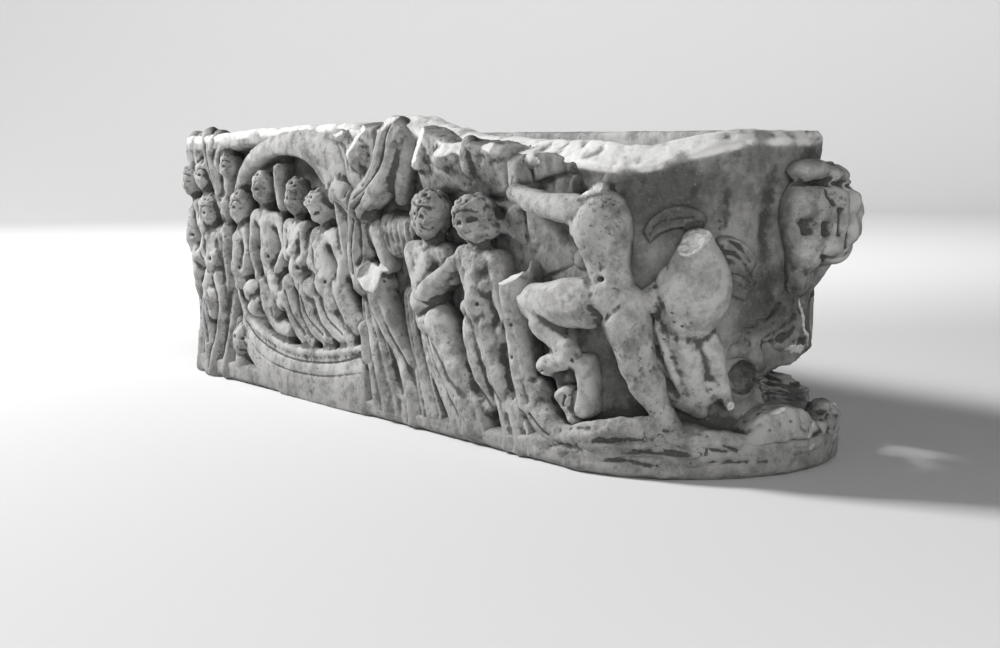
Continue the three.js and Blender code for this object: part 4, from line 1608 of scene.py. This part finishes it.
# The deep cuts between the waves of the foot strip, which go through the carving into the block.
WAVES = (
    Groove(((796, 70, 3), (830, 80, 9), (866, 84, 4)), 7),
    Groove(((840, 56, 3), (884, 66, 9), (934, 70, 4)), 7),
    Groove(((904, 44, 3), (950, 52, 8), (1004, 46, 3)), 7),
    Groove(((694, 58, 3), (720, 70, 8), (750, 62, 3)), 7),
    Groove(((748, 38, 3), (790, 46, 7), (836, 42, 3)), 6),
    Groove(((1010, 62, 3), (1050, 54, 7), (1096, 60, 3)), 6),
    Groove(((1004, 28, 2), (1060, 34, 6), (1120, 28, 2)), 6),
    Groove(((860, 26, 2), (910, 32, 6), (960, 26, 2)), 6),
)


@dataclass
class FootStripCarving(Relief):
    """Waves and rocks along the foot strip, and the broken slab and stump at its near end."""

    name: str = "foot_strip_carving"
    voxel: float = 2.8
    fillet: float = 1.5
    keep: float = 0.45
    polish: int = 3
    wear: float = 2.4
    # The furrow under the slab, and cuts between the waves.
    cuts: tuple[Groove, ...] = (
        *WAVES,
        Groove(((1082, 54, 14), (1118, 46, 24), (1150, 50, 16)), 6),
        Groove(((1158, 56, 16), (1190, 54, 24), (1224, 66, 16)), 7),
        Groove(((890, 42, 7), (950, 48, 11), (1010, 46, 6)), 5),
        Groove(((960, 26, 5), (1010, 22, 8), (1060, 30, 6)), 5),
        Groove(((700, 54, 5), (730, 60, 9), (760, 44, 7)), 5),
        Groove(((1050, 62, 6), (1076, 50, 10), (1100, 50, 6)), 5),
        Groove(((1220, 46, 8), (1250, 66, 12), (1276, 90, 8)), 5),
    )
    # Facets of the slab and of the stump behind it.
    breaks: tuple[Break, ...] = (
        Break((1130, 106, 58), (-0.15, 0.75, 0.65), 60, rough=2.0),
        Break((1180, 76, 68), (0.45, 0.0, 0.9), 44, rough=2.0),
        Break((1306, 104, 46), (0.3, 0.6, 0.7), 44, rough=2.4),
        Break((1262, 30, 58), (0.3, -0.3, 0.9), 60, rough=2.4),
    )

    def masses(self) -> list[Surface]:
        """Wave crests in rows, the slab, and the stump behind it."""
        parts = []
        for row, (low, bend) in enumerate(((18, 4.0), (36, 6.0), (54, 6.0))):
            s = np.arange(700 + 25 * row, 1110, 20.0)
            z = low + bend * np.sin(s / 34 + 1.7 * row) + 0.05 * (s - 700) * (row / 2)
            half = 11 + 3.5 * np.sin(s / 21 + row)
            parts.append(member(list(zip(s, z, np.full(len(s), 48.0), half)), 0.8, sides=14))
        s = np.arange(-560, 700, 30.0)
        z = 22 + 4 * np.sin(s / 46)
        parts.append(member(list(zip(s, z, np.full(len(s), 44.0), 10 + 3 * np.sin(s / 31))), 0.8, sides=12))
        crest = [
            member([(775, 52, 46, 16), (815, 66, 48, 17), (860, 80, 49, 17), (905, 88, 49, 17),
                    (955, 92, 49, 18)], 0.8),
            member([(980, 78, 49, 18), (1020, 66, 49, 18), (1070, 60, 49, 18)], 0.8),
        ]
        rocks = (
            ((736, 44, 46), (34, 18, 14)),
            ((862, 56, 48), (36, 14, 14)),
            ((940, 60, 48), (40, 15, 14)),
            ((1020, 34, 48), (42, 16, 13)),
            ((1090, 44, 46), (40, 22, 16)),
            ((1150, 30, 44), (50, 22, 16)),
            ((1222, 60, 44), (44, 26, 22)),
            ((1190, 56, 48), (42, 22, 18)),
            ((1262, 40, 42), (48, 26, 18)),
            ((1310, 86, 32), (36, 26, 26)),
            ((1352, 70, 34), (36, 30, 22)),
            ((1290, 50, 40), (42, 26, 18)),
        )
        slab = [
            sheet(
                [(1062, 50, 44), (1096, 54, 60), (1140, 56, 64), (1186, 60, 60), (1222, 64, 48)],
                [(1074, 78, 24), (1108, 112, 38), (1146, 126, 44), (1186, 118, 42), (1224, 90, 34)],
                5.0,
            ),
            lump((1168, 74, 4), (64, 18, 32), rough=0.25, seed=71),
            lump((1230, 76, 10), (54, 18, 32), lean=4, rough=0.25, seed=72),
            lump((1286, 78, 20), (42, 20, 32), lean=-8, rough=0.3, seed=73),
        ]
        heaps = [lump(place, halves, rough=0.34, seed=30 + i) for i, (place, halves) in enumerate(rocks)]
        return [*parts, *crest, *slab, *heaps]


@dataclass
class EndRocks(Relief):
    """The ragged stone left between the mask and the break at the near end."""

    name: str = "near_end_rocks"
    wear: float = 3.2
    polish: int = 2
    # Torn faces over and under the lip.
    breaks: tuple[Break, ...] = (
        Break((1224, 262, 12), (0.5, 0.2, 0.85), 50, rough=3.0),
        Break((1200, 216, 8), (0.0, -0.8, 0.6), 40, rough=3.0),
    )

    def masses(self) -> list[Surface]:
        """Ridges and heaps of torn stone."""
        ridges = [
            sheet(
                [(1092, 236, 0), (1120, 226, 6), (1150, 236, 10), (1184, 250, 12), (1206, 262, 6)],
                [(1088, 262, 0), (1122, 262, 8), (1156, 286, 12), (1186, 322, 14), (1214, 332, 6)],
                4.0, 2.0, 3.0,
            ),
            sheet(
                [(1060, 196, 0), (1082, 206, 6), (1110, 202, 6), (1124, 172, 4)],
                [(1066, 224, 0), (1092, 236, 6), (1126, 228, 6), (1148, 176, 4)],
                2.0,
            ),
        ]
        heaps = (
            ((1214, 250, -6), (42, 34, 26)),
            ((1180, 232, -6), (34, 20, 20)),
            ((1240, 216, -14), (40, 28, 24)),
            ((1204, 300, -2), (28, 34, 20)),
            ((1132, 250, -2), (30, 22, 14)),
            ((1226, 290, -12), (34, 30, 22)),
        )
        torn = [lump(place, halves, rough=0.34, seed=40 + i) for i, (place, halves) in enumerate(heaps)]
        return [*ridges, *torn]


# ---- The block


def along(line: Line, s: Array) -> Array:
    """The value at s of a line given by (s, value) points, straight between them."""
    return np.interp(s, [at for at, _ in line], [value for _, value in line])


@dataclass
class ChestBlock:
    """The hollow block: underside, foot strip, carving ground, broken rim, inside walls and floor."""

    name: str = "chest_block"
    fine: float = 4.4
    coarse: float = 10.0
    keep: float = 0.45
    rim_band: float = 34.0
    slope: float = 16.0
    rim_line: Line = (
        (-1200, 600), (-775, 600), (-475, 616), (120, 630), (160, 640), (240, 640), (300, 622), (370, 612),
        (440, 596), (590, 594), (675, 590), (805, 588), (880, 580), (950, 582), (1020, 596), (1095, 606),
        (1180, 602), (1300, 600),
    )
    rim_reach: Line = (
        (-700, 50), (-60, 44), (20, 34), (230, 30), (300, 18), (640, 14), (720, 5), (980, 2), (1080, 3),
        (1150, 2), (1480, 4), (1580, 56),
    )
    foot_line: Line = (
        (-1491, 55), (-700, 45), (-300, 40), (300, 30), (600, 35), (780, 58), (870, 86), (1000, 88),
        (1080, 66), (1300, 52), (1491, 50),
    )
    chamfer: Line = (
        (-60, 4), (30, 16), (230, 16), (300, 20), (560, 20), (650, 24), (780, 32), (930, 34), (1040, 22),
        (1140, 12), (1420, 8), (1500, 3),
    )
    bites: tuple[tuple[Place, Place, float], ...] = (
        ((1350, 150, 10), (230, 50, 96), -2.3),
        ((1440, 142, 0), (130, 46, 90), 0.0),
        ((1215, 142, 40), (92, 43, 80), 10.0),
        ((1320, 262, 52), (92, 84, 66), 0.0),
        ((1098, 172, -4), (29, 33, 36), 0.0),
        ((1290, 582, 16), (52, 30, 44), -24.0),
        ((1376, 612, 10), (70, 30, 70), -24.0),
    )
    furrows: tuple[Groove, ...] = (
        Groove(((1160, 530, 2), (1146, 490, 9), (1138, 430, 12), (1142, 370, 9), (1158, 310, 9),
                (1176, 280, 3)), 30),
        Groove(((1004, 470, 1), (1012, 500, 4), (1034, 520, 1)), 10),
        Groove(((1060, 520, 1), (1066, 470, 3), (1058, 420, 1)), 14),
    )

    def columns(self) -> Array:
        """Where the sections stand round the loop: close together on the carved side, wider on the back."""
        s = np.arange(-PLAN.half_loop, PLAN.half_loop, 1.0)
        plain = smooth_step(np.where(s < 0, -s - 120, s), 1300, 1480)
        spacing = self.fine + (self.coarse - self.fine) * plain
        passed = np.cumsum(1 / spacing)
        count = int(passed[-1])
        return np.interp(np.arange(count) * passed[-1] / count, passed, s)

    def section(self, s: Array) -> Array:
        """The wall's outline at each s, from the foot's corner up the outside, over the rim and down inside.

        Args:
            s: the sections' places.

        Returns:
            Array of sections, points of the outline, and (z, d).
        """
        plain = PLAN.plainness(s)
        rim = along(self.rim_line, s)
        reach = along(self.rim_reach, s)
        foot = along(self.foot_line, s)
        ground = PLAN.relief * plain
        band = np.maximum(reach, ground)
        drop = along(self.chamfer, s)
        shorn = smooth_step(drop, 4, 30)
        band = band * (1 - shorn) + reach * shorn
        inner = PLAN.inner_face(s)
        zero = np.zeros_like(s)
        edge = PLAN.relief
        corners = [
            (zero, edge - 14 + zero, 0),
            (zero + 9, edge + zero, 4),
            (foot, edge + zero, 13),
            (foot + self.slope, ground, 6),
            (rim - self.rim_band - self.slope - 0.4 * drop, ground, 100),
            (rim - self.rim_band - 0.5 * drop, band, 6),
            (rim - 4 - drop, reach, 8),
            (rim - 0.1 * drop, (reach - 8) * (1 - shorn) + (inner + 12) * shorn, 14),
            (rim, inner + 6, 8),
            (rim - 8, inner, 3),
            (zero + PLAN.floor + 30, inner, 42),
            (zero + PLAN.floor + 8, inner - 8, 5),
            (zero + PLAN.floor, inner - 30, 4),
        ]
        rows = [np.stack([corners[0][0], corners[0][1]], axis=-1)[:, None]]
        for (z0, d0, _), (z1, d1, steps) in zip(corners[:-1], corners[1:]):
            share = np.linspace(0, 1, steps + 1)[1:][None, :]
            z = z0[:, None] + share * (z1 - z0)[:, None]
            d = d0[:, None] + share * (d1 - d0)[:, None]
            rows.append(np.stack([z, d], axis=-1))
        outline = np.concatenate(rows, axis=1)
        for _ in range(2):
            outline[:, 1:-1] = 0.25 * outline[:, :-2] + 0.5 * outline[:, 1:-1] + 0.25 * outline[:, 2:]
        return outline

    def surface(self) -> tuple[Surface, int]:
        """The whole closed skin: the wall's outline round the loop, drawn in to the middle above and below.

        Returns:
            The surface, and how many sections it has, whose first and last rows are the two poles.
        """
        s = self.columns()
        outline = self.section(s)
        wall = PLAN.place(s[:, None], outline[..., 0], outline[..., 1])
        share = np.linspace(0, 1, 14)[:-1][None, :, None]
        flat = np.array([1.0, 1.0, 0.0])
        under = wall[:, :1] * (share * flat + np.array([0, 0, 1.0]))
        floor = wall[:, -1:] * (share[:, ::-1] * flat + np.array([0, 0, 1.0]))
        points = np.concatenate([under, wall, floor], axis=1)
        return Surface.grid(points.transpose(1, 0, 2), wrap=True), len(s)

    def bite(self, place: Place, halves: Place, lean: float, seed: int) -> Object:
        """One rough lump of air, as an object that cuts."""
        ball = ball_grid(90, 130)
        rough = layered_noise(ball.reshape(-1, 3) * max(halves) * MM + seed, 0.045, 4, seed)
        radius = 1 + 0.16 * rough.reshape(ball.shape[:2])
        local = ball * radius[..., None] * np.array(halves)
        s, z, d = place
        turned = math.radians(lean)
        along_wall = local[..., 0] * math.cos(turned) - local[..., 1] * math.sin(turned)
        up = local[..., 0] * math.sin(turned) + local[..., 1] * math.cos(turned)
        points = PLAN.place(s + along_wall, z + up, d + local[..., 2])
        air = as_object(Surface.grid(points, wrap=True), "bite")
        weld_poles(air.data)
        return air

    def build(self, marble: Material) -> Object:
        """Makes the block, cuts its breaks, roughens it and hands back the finished piece.

        Args:
            marble: the material that it takes.

        Returns:
            The piece.
        """
        surface, sections = self.surface()
        block = as_object(surface, self.name)
        weld_poles(block.data)
        bites = [self.bite(*bite, seed) for seed, bite in enumerate(self.bites, start=51)]
        for air in bites:
            cut = block.modifiers.new("cut", "BOOLEAN")
            cut.operation = "DIFFERENCE"
            cut.solver = "MANIFOLD"
            cut.object = air
        mesh = evaluated(block)
        for spent in (block, *bites):
            spent_mesh = spent.data
            bpy.data.objects.remove(spent)
            bpy.data.meshes.remove(spent_mesh)
        mesh.name = self.name
        skin = Skin(mesh)
        s, z, d = PLAN.locate(skin.points)
        skin.polish(6, POLISH_SHARE * self.bitten(s, z, d)[:, None])
        for furrow in (*self.furrows, *WAVES):
            skin.points -= PLAN.normal(s) * (furrow.depth_at(s, z) * smooth_step(d, -20, -4))[:, None] * MM
        fresh = self.roughen(skin)
        # The inside walls and the plain back get their depth raised by 60 mm, which keeps the painted shade
        # and patina of recesses off them.
        inside = smooth_step(PLAN.inner_face(s) + 6 - d, -4.0, 4.0)
        clear_of_dirt_and_shade = np.maximum(inside, PLAN.plainness(s)) * (z > 20)
        log.info("%s: %d sections, %d corners", self.name, sections, len(s))
        return finish_piece(skin, fresh, d + 60 * clear_of_dirt_and_shade, self.keep, marble)

    def bitten(self, s: Array, z: Array, d: Array) -> Array:
        """1 near the faces of the breaks, 0 away from them."""
        share = np.zeros(len(s))
        for (at, high, out), (wide, tall, deep), _ in self.bites:
            gap = ((s - at) / wide) ** 2 + ((z - high) / tall) ** 2 + ((d - out) / deep) ** 2
            share = np.maximum(share, 1 - smooth_step(gap, 1.15, 1.6))
        return share

    def roughen(self, skin: Skin) -> Array:
        """Gives each part of the block its own surface, in place.

        The sheared rim gets coarse layered noise, the outside broad swells and pits, and the back and the
        inside slanting rows of point-chisel strokes.

        Args:
            skin: the block's skin.

        Returns:
            1 where the stone is fresh-broken, 0 where it isn't.
        """
        points, normals = skin.points, skin.normals
        s, z, d = PLAN.locate(points)
        rim = along(self.rim_line, s)
        drop = along(self.chamfer, s)
        inner = PLAN.inner_face(s)
        inside = smooth_step(-(d - inner), -6.0, 2.0) * smooth_step(z, 40, 80)
        broken = smooth_step(z - (rim - 14 - drop), -8, 6) * (s > -1250) * (s < 1420)
        bitten = self.bitten(s, z, d)
        back = PLAN.plainness(s)
        wear_down(skin, 0.9, np.maximum(broken, 0.4 * bitten))
        rough = layered_noise(points, 0.026, 4, 71)
        tall = layered_noise(points * np.array([1.0, 1.0, 0.3]), 0.075, 3, 77)
        points += normals * ((broken * 1.5 + bitten * 0.9) * rough)[:, None] * MM
        points[:, 2] += broken * 1.6 * tall * MM
        strokes = self.chisel(s, z)
        depth = (0.55 * inside + 0.8 * back * (1 - inside)) * (1 - broken) * smooth_step(z, 4, 14)
        points += normals * (strokes * depth * 1.5)[:, None] * MM
        points[:, 2] = np.maximum(points[:, 2], 0.0)
        return np.clip(broken * (0.35 + 0.65 * smooth_step(rough, -0.8, 0.4)) + 0.1 * bitten, 0.0, 1.0)

    @staticmethod
    def chisel(s: Array, z: Array) -> Array:
        """Slanting chisel strokes: a wave across the stroke's direction, broken up by noise along it."""
        slant = 0.62
        across = z * math.cos(slant) - s * math.sin(slant)
        down = z * math.sin(slant) + s * math.cos(slant)
        flat = np.stack([across * 0.05, down * 0.012, np.zeros_like(s)], axis=-1)
        lines = noise(flat, 0.62, 83)
        return 0.7 * lines + 0.5 * noise(np.stack([s, z, np.zeros_like(s)], axis=-1), 34.0, 85)


def as_object(surface: Surface, name: str) -> Object:
    """A surface as a linked mesh object."""
    mesh = bpy.data.meshes.new(name)
    mesh.from_pydata(surface.points.tolist(), [], surface.faces.tolist())
    return linked(name, mesh)


def weld_poles(mesh: Mesh) -> None:
    """Merges corners that lie within a hundredth of a millimetre, which closes the poles of a grid."""
    work = bmesh.new()
    work.from_mesh(mesh)
    bmesh.ops.remove_doubles(work, verts=work.verts, dist=0.01 * MM)
    work.to_mesh(mesh)
    work.free()


# ---- Finish


class Links:
    """Short ways to place and join a material's nodes."""

    def __init__(self, material: Material) -> None:
        """Starts from an empty node tree."""
        material.use_nodes = True
        self.tree = material.node_tree
        self.tree.nodes.clear()

    def node(self, kind: str, **settings: object) -> Node:
        """A new node of a kind, with its own settings."""
        made = self.tree.nodes.new(kind)
        for name, value in settings.items():
            setattr(made, name, value)
        return made

    def join(self, source: Socket, target: Socket) -> None:
        """Links two sockets."""
        self.tree.links.new(source, target)

    def value(self, label: str) -> Socket:
        """One of the mesh's own values."""
        return self.node("ShaderNodeAttribute", attribute_name=label).outputs["Fac"]

    def pattern(self, place: Socket, scale: float, detail: float, rough: float) -> Socket:
        """Layered noise on the object's own coordinates.

        Args:
            place: the coordinates.
            scale: cells in a metre.
            detail: how many layers.
            rough: how strong the finer layers are.

        Returns:
            The pattern, about 0 to 1.
        """
        made = self.node("ShaderNodeTexNoise")
        made.inputs["Scale"].default_value = scale
        made.inputs["Detail"].default_value = detail
        made.inputs["Roughness"].default_value = rough
        self.join(place, made.inputs["Vector"])
        return made.outputs["Fac"]

    def stretched(self, place: Socket, scale: Place) -> Socket:
        """The coordinates multiplied axis by axis."""
        made = self.node("ShaderNodeMapping", vector_type="POINT")
        made.inputs["Scale"].default_value = scale
        self.join(place, made.inputs["Vector"])
        return made.outputs["Vector"]

    def ramp(self, source: Socket, low: float, high: float, first: float = 0.0, last: float = 1.0) -> Socket:
        """A smooth step from first to last as a value goes from low to high."""
        made = self.node("ShaderNodeMapRange", interpolation_type="SMOOTHSTEP")
        self.join(source, made.inputs["Value"])
        for label, number in (("From Min", low), ("From Max", high), ("To Min", first), ("To Max", last)):
            made.inputs[label].default_value = number
        return made.outputs["Result"]

    def combine(self, operation: str, first: Socket, second: Socket | float) -> Socket:
        """A math node's result for two values, or for a value and a number."""
        made = self.node("ShaderNodeMath", operation=operation)
        self.join(first, made.inputs[0])
        if isinstance(second, float):
            made.inputs[1].default_value = second
        else:
            self.join(second, made.inputs[1])
        return made.outputs[0]

    def blend(self, share: Socket, under: Socket | Colour, over: Colour) -> Socket:
        """One colour over another by a share."""
        made = self.node("ShaderNodeMix", data_type="RGBA")
        self.join(share, made.inputs["Factor"])
        first, second = (socket for socket in made.inputs if socket.type == "RGBA")
        if isinstance(under, tuple):
            first.default_value = (*under, 1.0)
        else:
            self.join(under, first)
        second.default_value = (*over, 1.0)
        return next(socket for socket in made.outputs if socket.type == "RGBA")


@dataclass(frozen=True)
class Marble:
    """Weathered grey-white marble: paler where it is broken, dark with old dirt and painted shade in its
    hollows and recesses.
    """

    clean: Colour = (0.40, 0.397, 0.388)
    grey: Colour = (0.14, 0.139, 0.136)
    # The dark colour serves for real dirt, specks and streaks, and also for painted shade in hollows and
    # recesses.
    dirt_and_shade: Colour = (0.040, 0.0395, 0.038)
    broken: Colour = (0.62, 0.615, 0.60)
    roughness: float = 0.82
    bump_height: float = 0.0024

    def make(self) -> Material:
        """Builds the material: mottled stone, then broken stone, then dirt with painted shade in hollows and
        recesses, and dirt in pits.
        """
        material = bpy.data.materials.new("weathered_marble")
        links = Links(material)
        place = links.node("ShaderNodeTexCoord").outputs["Object"]
        cloud = links.pattern(place, 7.0, 6.0, 0.62)
        patch = links.pattern(place, 26.0, 6.0, 0.66)
        grain = links.pattern(place, 190.0, 4.0, 0.7)
        speck = links.pattern(place, 85.0, 5.0, 0.7)
        hollow = links.value("hollow")
        depth = links.value("depth")
        fresh = links.value("fresh")

        cloudy = links.ramp(cloud, 0.38, 0.66, 0.0, 0.45)
        mottled = links.combine("ADD", cloudy, links.ramp(patch, 0.42, 0.62, 0.0, 0.55))
        stone = links.blend(mottled, self.clean, self.grey)
        stone = links.blend(links.ramp(fresh, 0.1, 0.9), stone, self.broken)
        # Painted shade with dirt: where the skin is hollow, in creases and between figures where shade falls,
        # the stone is blended towards the dark colour, and less so on broken stone.
        ragged = links.combine("ADD", hollow, links.ramp(patch, 0.3, 0.7, -0.22, 0.22))
        whole = links.ramp(fresh, 0.0, 0.7, 1.0, 0.25)
        soiled_and_shaded = links.combine("MULTIPLY", links.ramp(ragged, -0.08, 0.85, 0.0, 0.92), whole)
        stone = links.blend(soiled_and_shaded, stone, self.dirt_and_shade)
        # Painted shade with patina: the deeper the stone lies in the relief, the darker it is, in cloudy
        # patches, except on broken stone.
        recess = links.ramp(depth, 46.0, 18.0, 0.0, 0.84)
        deep = links.combine("MULTIPLY", recess, links.ramp(cloud, 0.30, 0.62, 0.40, 1.0))
        deep = links.combine("MULTIPLY", deep, links.ramp(fresh, 0.0, 0.6, 1.0, 0.0))
        stone = links.blend(deep, stone, self.dirt_and_shade)
        spotted = links.ramp(speck, 0.56, 0.66, 0.0, 0.8)
        specks = links.combine("MULTIPLY", spotted, links.ramp(cloud, 0.40, 0.60))
        stone = links.blend(links.combine("MULTIPLY", specks, whole), stone, self.dirt_and_shade)
        streak = links.pattern(links.stretched(place, (9.0, 9.0, 1.6)), 1.0, 5.0, 0.6)
        stone = links.blend(links.ramp(streak, 0.56, 0.74, 0.0, 0.35), stone, self.dirt_and_shade)
        # Darker towards the bottom: within 0.14 m of the floor the stone is blended up to 0.42 of the way to
        # the dark colour.
        place_parts = links.node("ShaderNodeSeparateXYZ")
        links.join(place, place_parts.inputs["Vector"])
        stone = links.blend(links.ramp(place_parts.outputs["Z"], 0.14, 0.0, 0.0, 0.42), stone, self.dirt_and_shade)
        stone = links.blend(links.ramp(grain, 0.56, 0.78, 0.0, 0.25), stone, self.broken)

        raised = links.combine("MULTIPLY", grain, 0.35)
        height = links.combine("ADD", raised, links.combine("MULTIPLY", speck, -0.8))
        height = links.combine("ADD", height, links.combine("MULTIPLY", patch, 0.9))
        bump = links.node("ShaderNodeBump")
        bump.inputs["Strength"].default_value = 1.0
        bump.inputs["Distance"].default_value = self.bump_height
        links.join(height, bump.inputs["Height"])

        shader = links.node("ShaderNodeBsdfPrincipled")
        shader.inputs["Roughness"].default_value = self.roughness
        shader.inputs["Specular IOR Level"].default_value = 0.35
        links.join(stone, shader.inputs["Base Color"])
        links.join(bump.outputs["Normal"], shader.inputs["Normal"])
        links.join(shader.outputs["BSDF"], links.node("ShaderNodeOutputMaterial").inputs["Surface"])
        return material


# ---- Studio


@dataclass(frozen=True)
class Studio:
    """Pale floor that sweeps up into a pale backdrop, soft light from the upper left, and the camera."""

    eye: Place = (3.52, -2.11, 0.615)
    azimuth: float = 58.0
    pitch: float = 6.1
    roll: float = -0.75
    lens: float = 66.6
    key_towards: Place = (-0.68, -0.50, 0.54)
    key_distance: float = 9.0
    key_size: float = 1.8
    key_power: float = 1400.0
    fill_towards: Place = (0.90, -0.38, 0.22)
    fill_power: float = 150.0
    back_towards: Place = (-0.80, 0.47, -0.38)
    back_power: float = 400.0
    wash_towards: Place = (-0.48, 0.28, 0.83)
    aim_height: float = 0.3
    world_light: float = 0.10
    floor_grey: Colour = (0.66, 0.66, 0.66)
    floor_radius: float = 9.0
    sweep: float = 3.0

    def floor(self) -> Object:
        """The floor: a disc whose edge sweeps up, worked out as a profile turned about the upright."""
        turn = np.linspace(0, 2 * math.pi, 96, endpoint=False)[None, :]
        bend = np.linspace(0, math.pi / 2, 16)
        edge = self.floor_radius + self.sweep * np.sin(bend)
        radius = np.concatenate([[0.001, 2.0, 5.0], edge, [self.floor_radius + self.sweep]])
        height = np.concatenate([[0.0, 0.0, 0.0], self.sweep * (1 - np.cos(bend)), [self.sweep + 1.5]])
        radius = radius[:, None]
        ring = (radius * np.cos(turn), radius * np.sin(turn), height[:, None])
        points = np.stack(np.broadcast_arrays(*ring), axis=-1)
        floor = as_object(Surface.grid(points[::-1], wrap=True), "floor")
        weld_poles(floor.data)
        floor.data.polygons.foreach_set("use_smooth", np.ones(len(floor.data.polygons), dtype=bool))
        paper = bpy.data.materials.new("pale_floor")
        links = Links(paper)
        shader = links.node("ShaderNodeBsdfPrincipled")
        shader.inputs["Base Color"].default_value = (*self.floor_grey, 1.0)
        shader.inputs["Roughness"].default_value = 0.9
        links.join(shader.outputs["BSDF"], links.node("ShaderNodeOutputMaterial").inputs["Surface"])
        floor.data.materials.append(paper)
        return floor

    def light(self, name: str, towards: Place, distance: float, size: float, power: float) -> Object:
        """A square soft light aimed at the middle of the chest.

        Args:
            name: its name.
            towards: direction from the chest to the light.
            distance: how far off it is, metres.
            size: its side, metres.
            power: watts.

        Returns:
            The light.
        """
        lamp = bpy.data.lights.new(name, "AREA")
        lamp.size = size
        lamp.energy = power
        made = linked(name, lamp)
        direction = Vector(towards).normalized()
        made.location = direction * distance + Vector((0.0, 0.0, self.aim_height))
        made.rotation_mode = "QUATERNION"
        made.rotation_quaternion = direction.to_track_quat("Z", "Y")
        return made

    def camera(self) -> Object:
        """The camera, from its place, azimuth, pitch and roll."""
        azimuth, pitch, roll = np.radians([self.azimuth, self.pitch, self.roll])
        level = math.cos(pitch)
        forward = np.array([-math.sin(azimuth) * level, math.cos(azimuth) * level, -math.sin(pitch)])
        right = np.array([math.cos(azimuth), math.sin(azimuth), 0.0])
        up = np.cross(right, forward)
        turned_right = right * math.cos(roll) + up * math.sin(roll)
        turned_up = up * math.cos(roll) - right * math.sin(roll)
        lens = bpy.data.cameras.new("camera")
        lens.sensor_width = 36.0
        lens.lens = self.lens
        lens.clip_start = 0.05
        lens.clip_end = 100.0
        made = linked("camera", lens)
        axes = np.eye(4)
        axes[:3, 0], axes[:3, 1], axes[:3, 2], axes[:3, 3] = turned_right, turned_up, -forward, self.eye
        made.matrix_world = Matrix(axes.tolist())
        bpy.context.scene.camera = made
        return made

    def world(self) -> None:
        """A pale, even sky."""
        sky = bpy.data.worlds.new("studio")
        sky.use_nodes = True
        backdrop = sky.node_tree.nodes["Background"]
        backdrop.inputs["Color"].default_value = (1.0, 1.0, 1.0, 1.0)
        backdrop.inputs["Strength"].default_value = self.world_light
        bpy.context.scene.world = sky

    def wash(self) -> Object:
        """A wide lamp over the back of the floor that lights only the backdrop."""
        lamp = self.light("wash", self.wash_towards, 6.4, 6.0, self.back_power)
        lamp.rotation_quaternion = (-Vector(self.back_towards)).to_track_quat("Z", "Y")
        return lamp

    def build(self) -> None:
        """Sets up floor, lights, sky and camera."""
        bpy.context.scene.view_settings.view_transform = "Standard"
        self.floor()
        self.light("key", self.key_towards, self.key_distance, self.key_size, self.key_power)
        self.light("fill", self.fill_towards, 6.0, 3.0, self.fill_power)
        self.wash()
        self.world()
        self.camera()


# ---- The whole


def main() -> None:
    """Builds the stone, piece by piece, and the studio round it."""
    logging.basicConfig(level=logging.INFO, format="%(message)s")
    marble = Marble().make()
    ChestBlock().build(marble)
    groups = [
        STRIDING_YOUTH,
        YOUTH_WING,
        FALLEN_FIGURE,
        AnimalMask(),
        AnimalMask(name="far_mask", side=-1.0, bold=0.6),
        BROKEN_TREE,
        STANDING_CHILDREN,
        CLOAKED_FIGURE,
        BOAT_AND_VEIL,
        FAR_END_GROUP,
        BrokenRim(),
        FootStripCarving(),
        EndRocks(),
    ]
    for group in groups:
        group.build(marble)
    Studio().build()


if __name__ == "__main__":
    main()
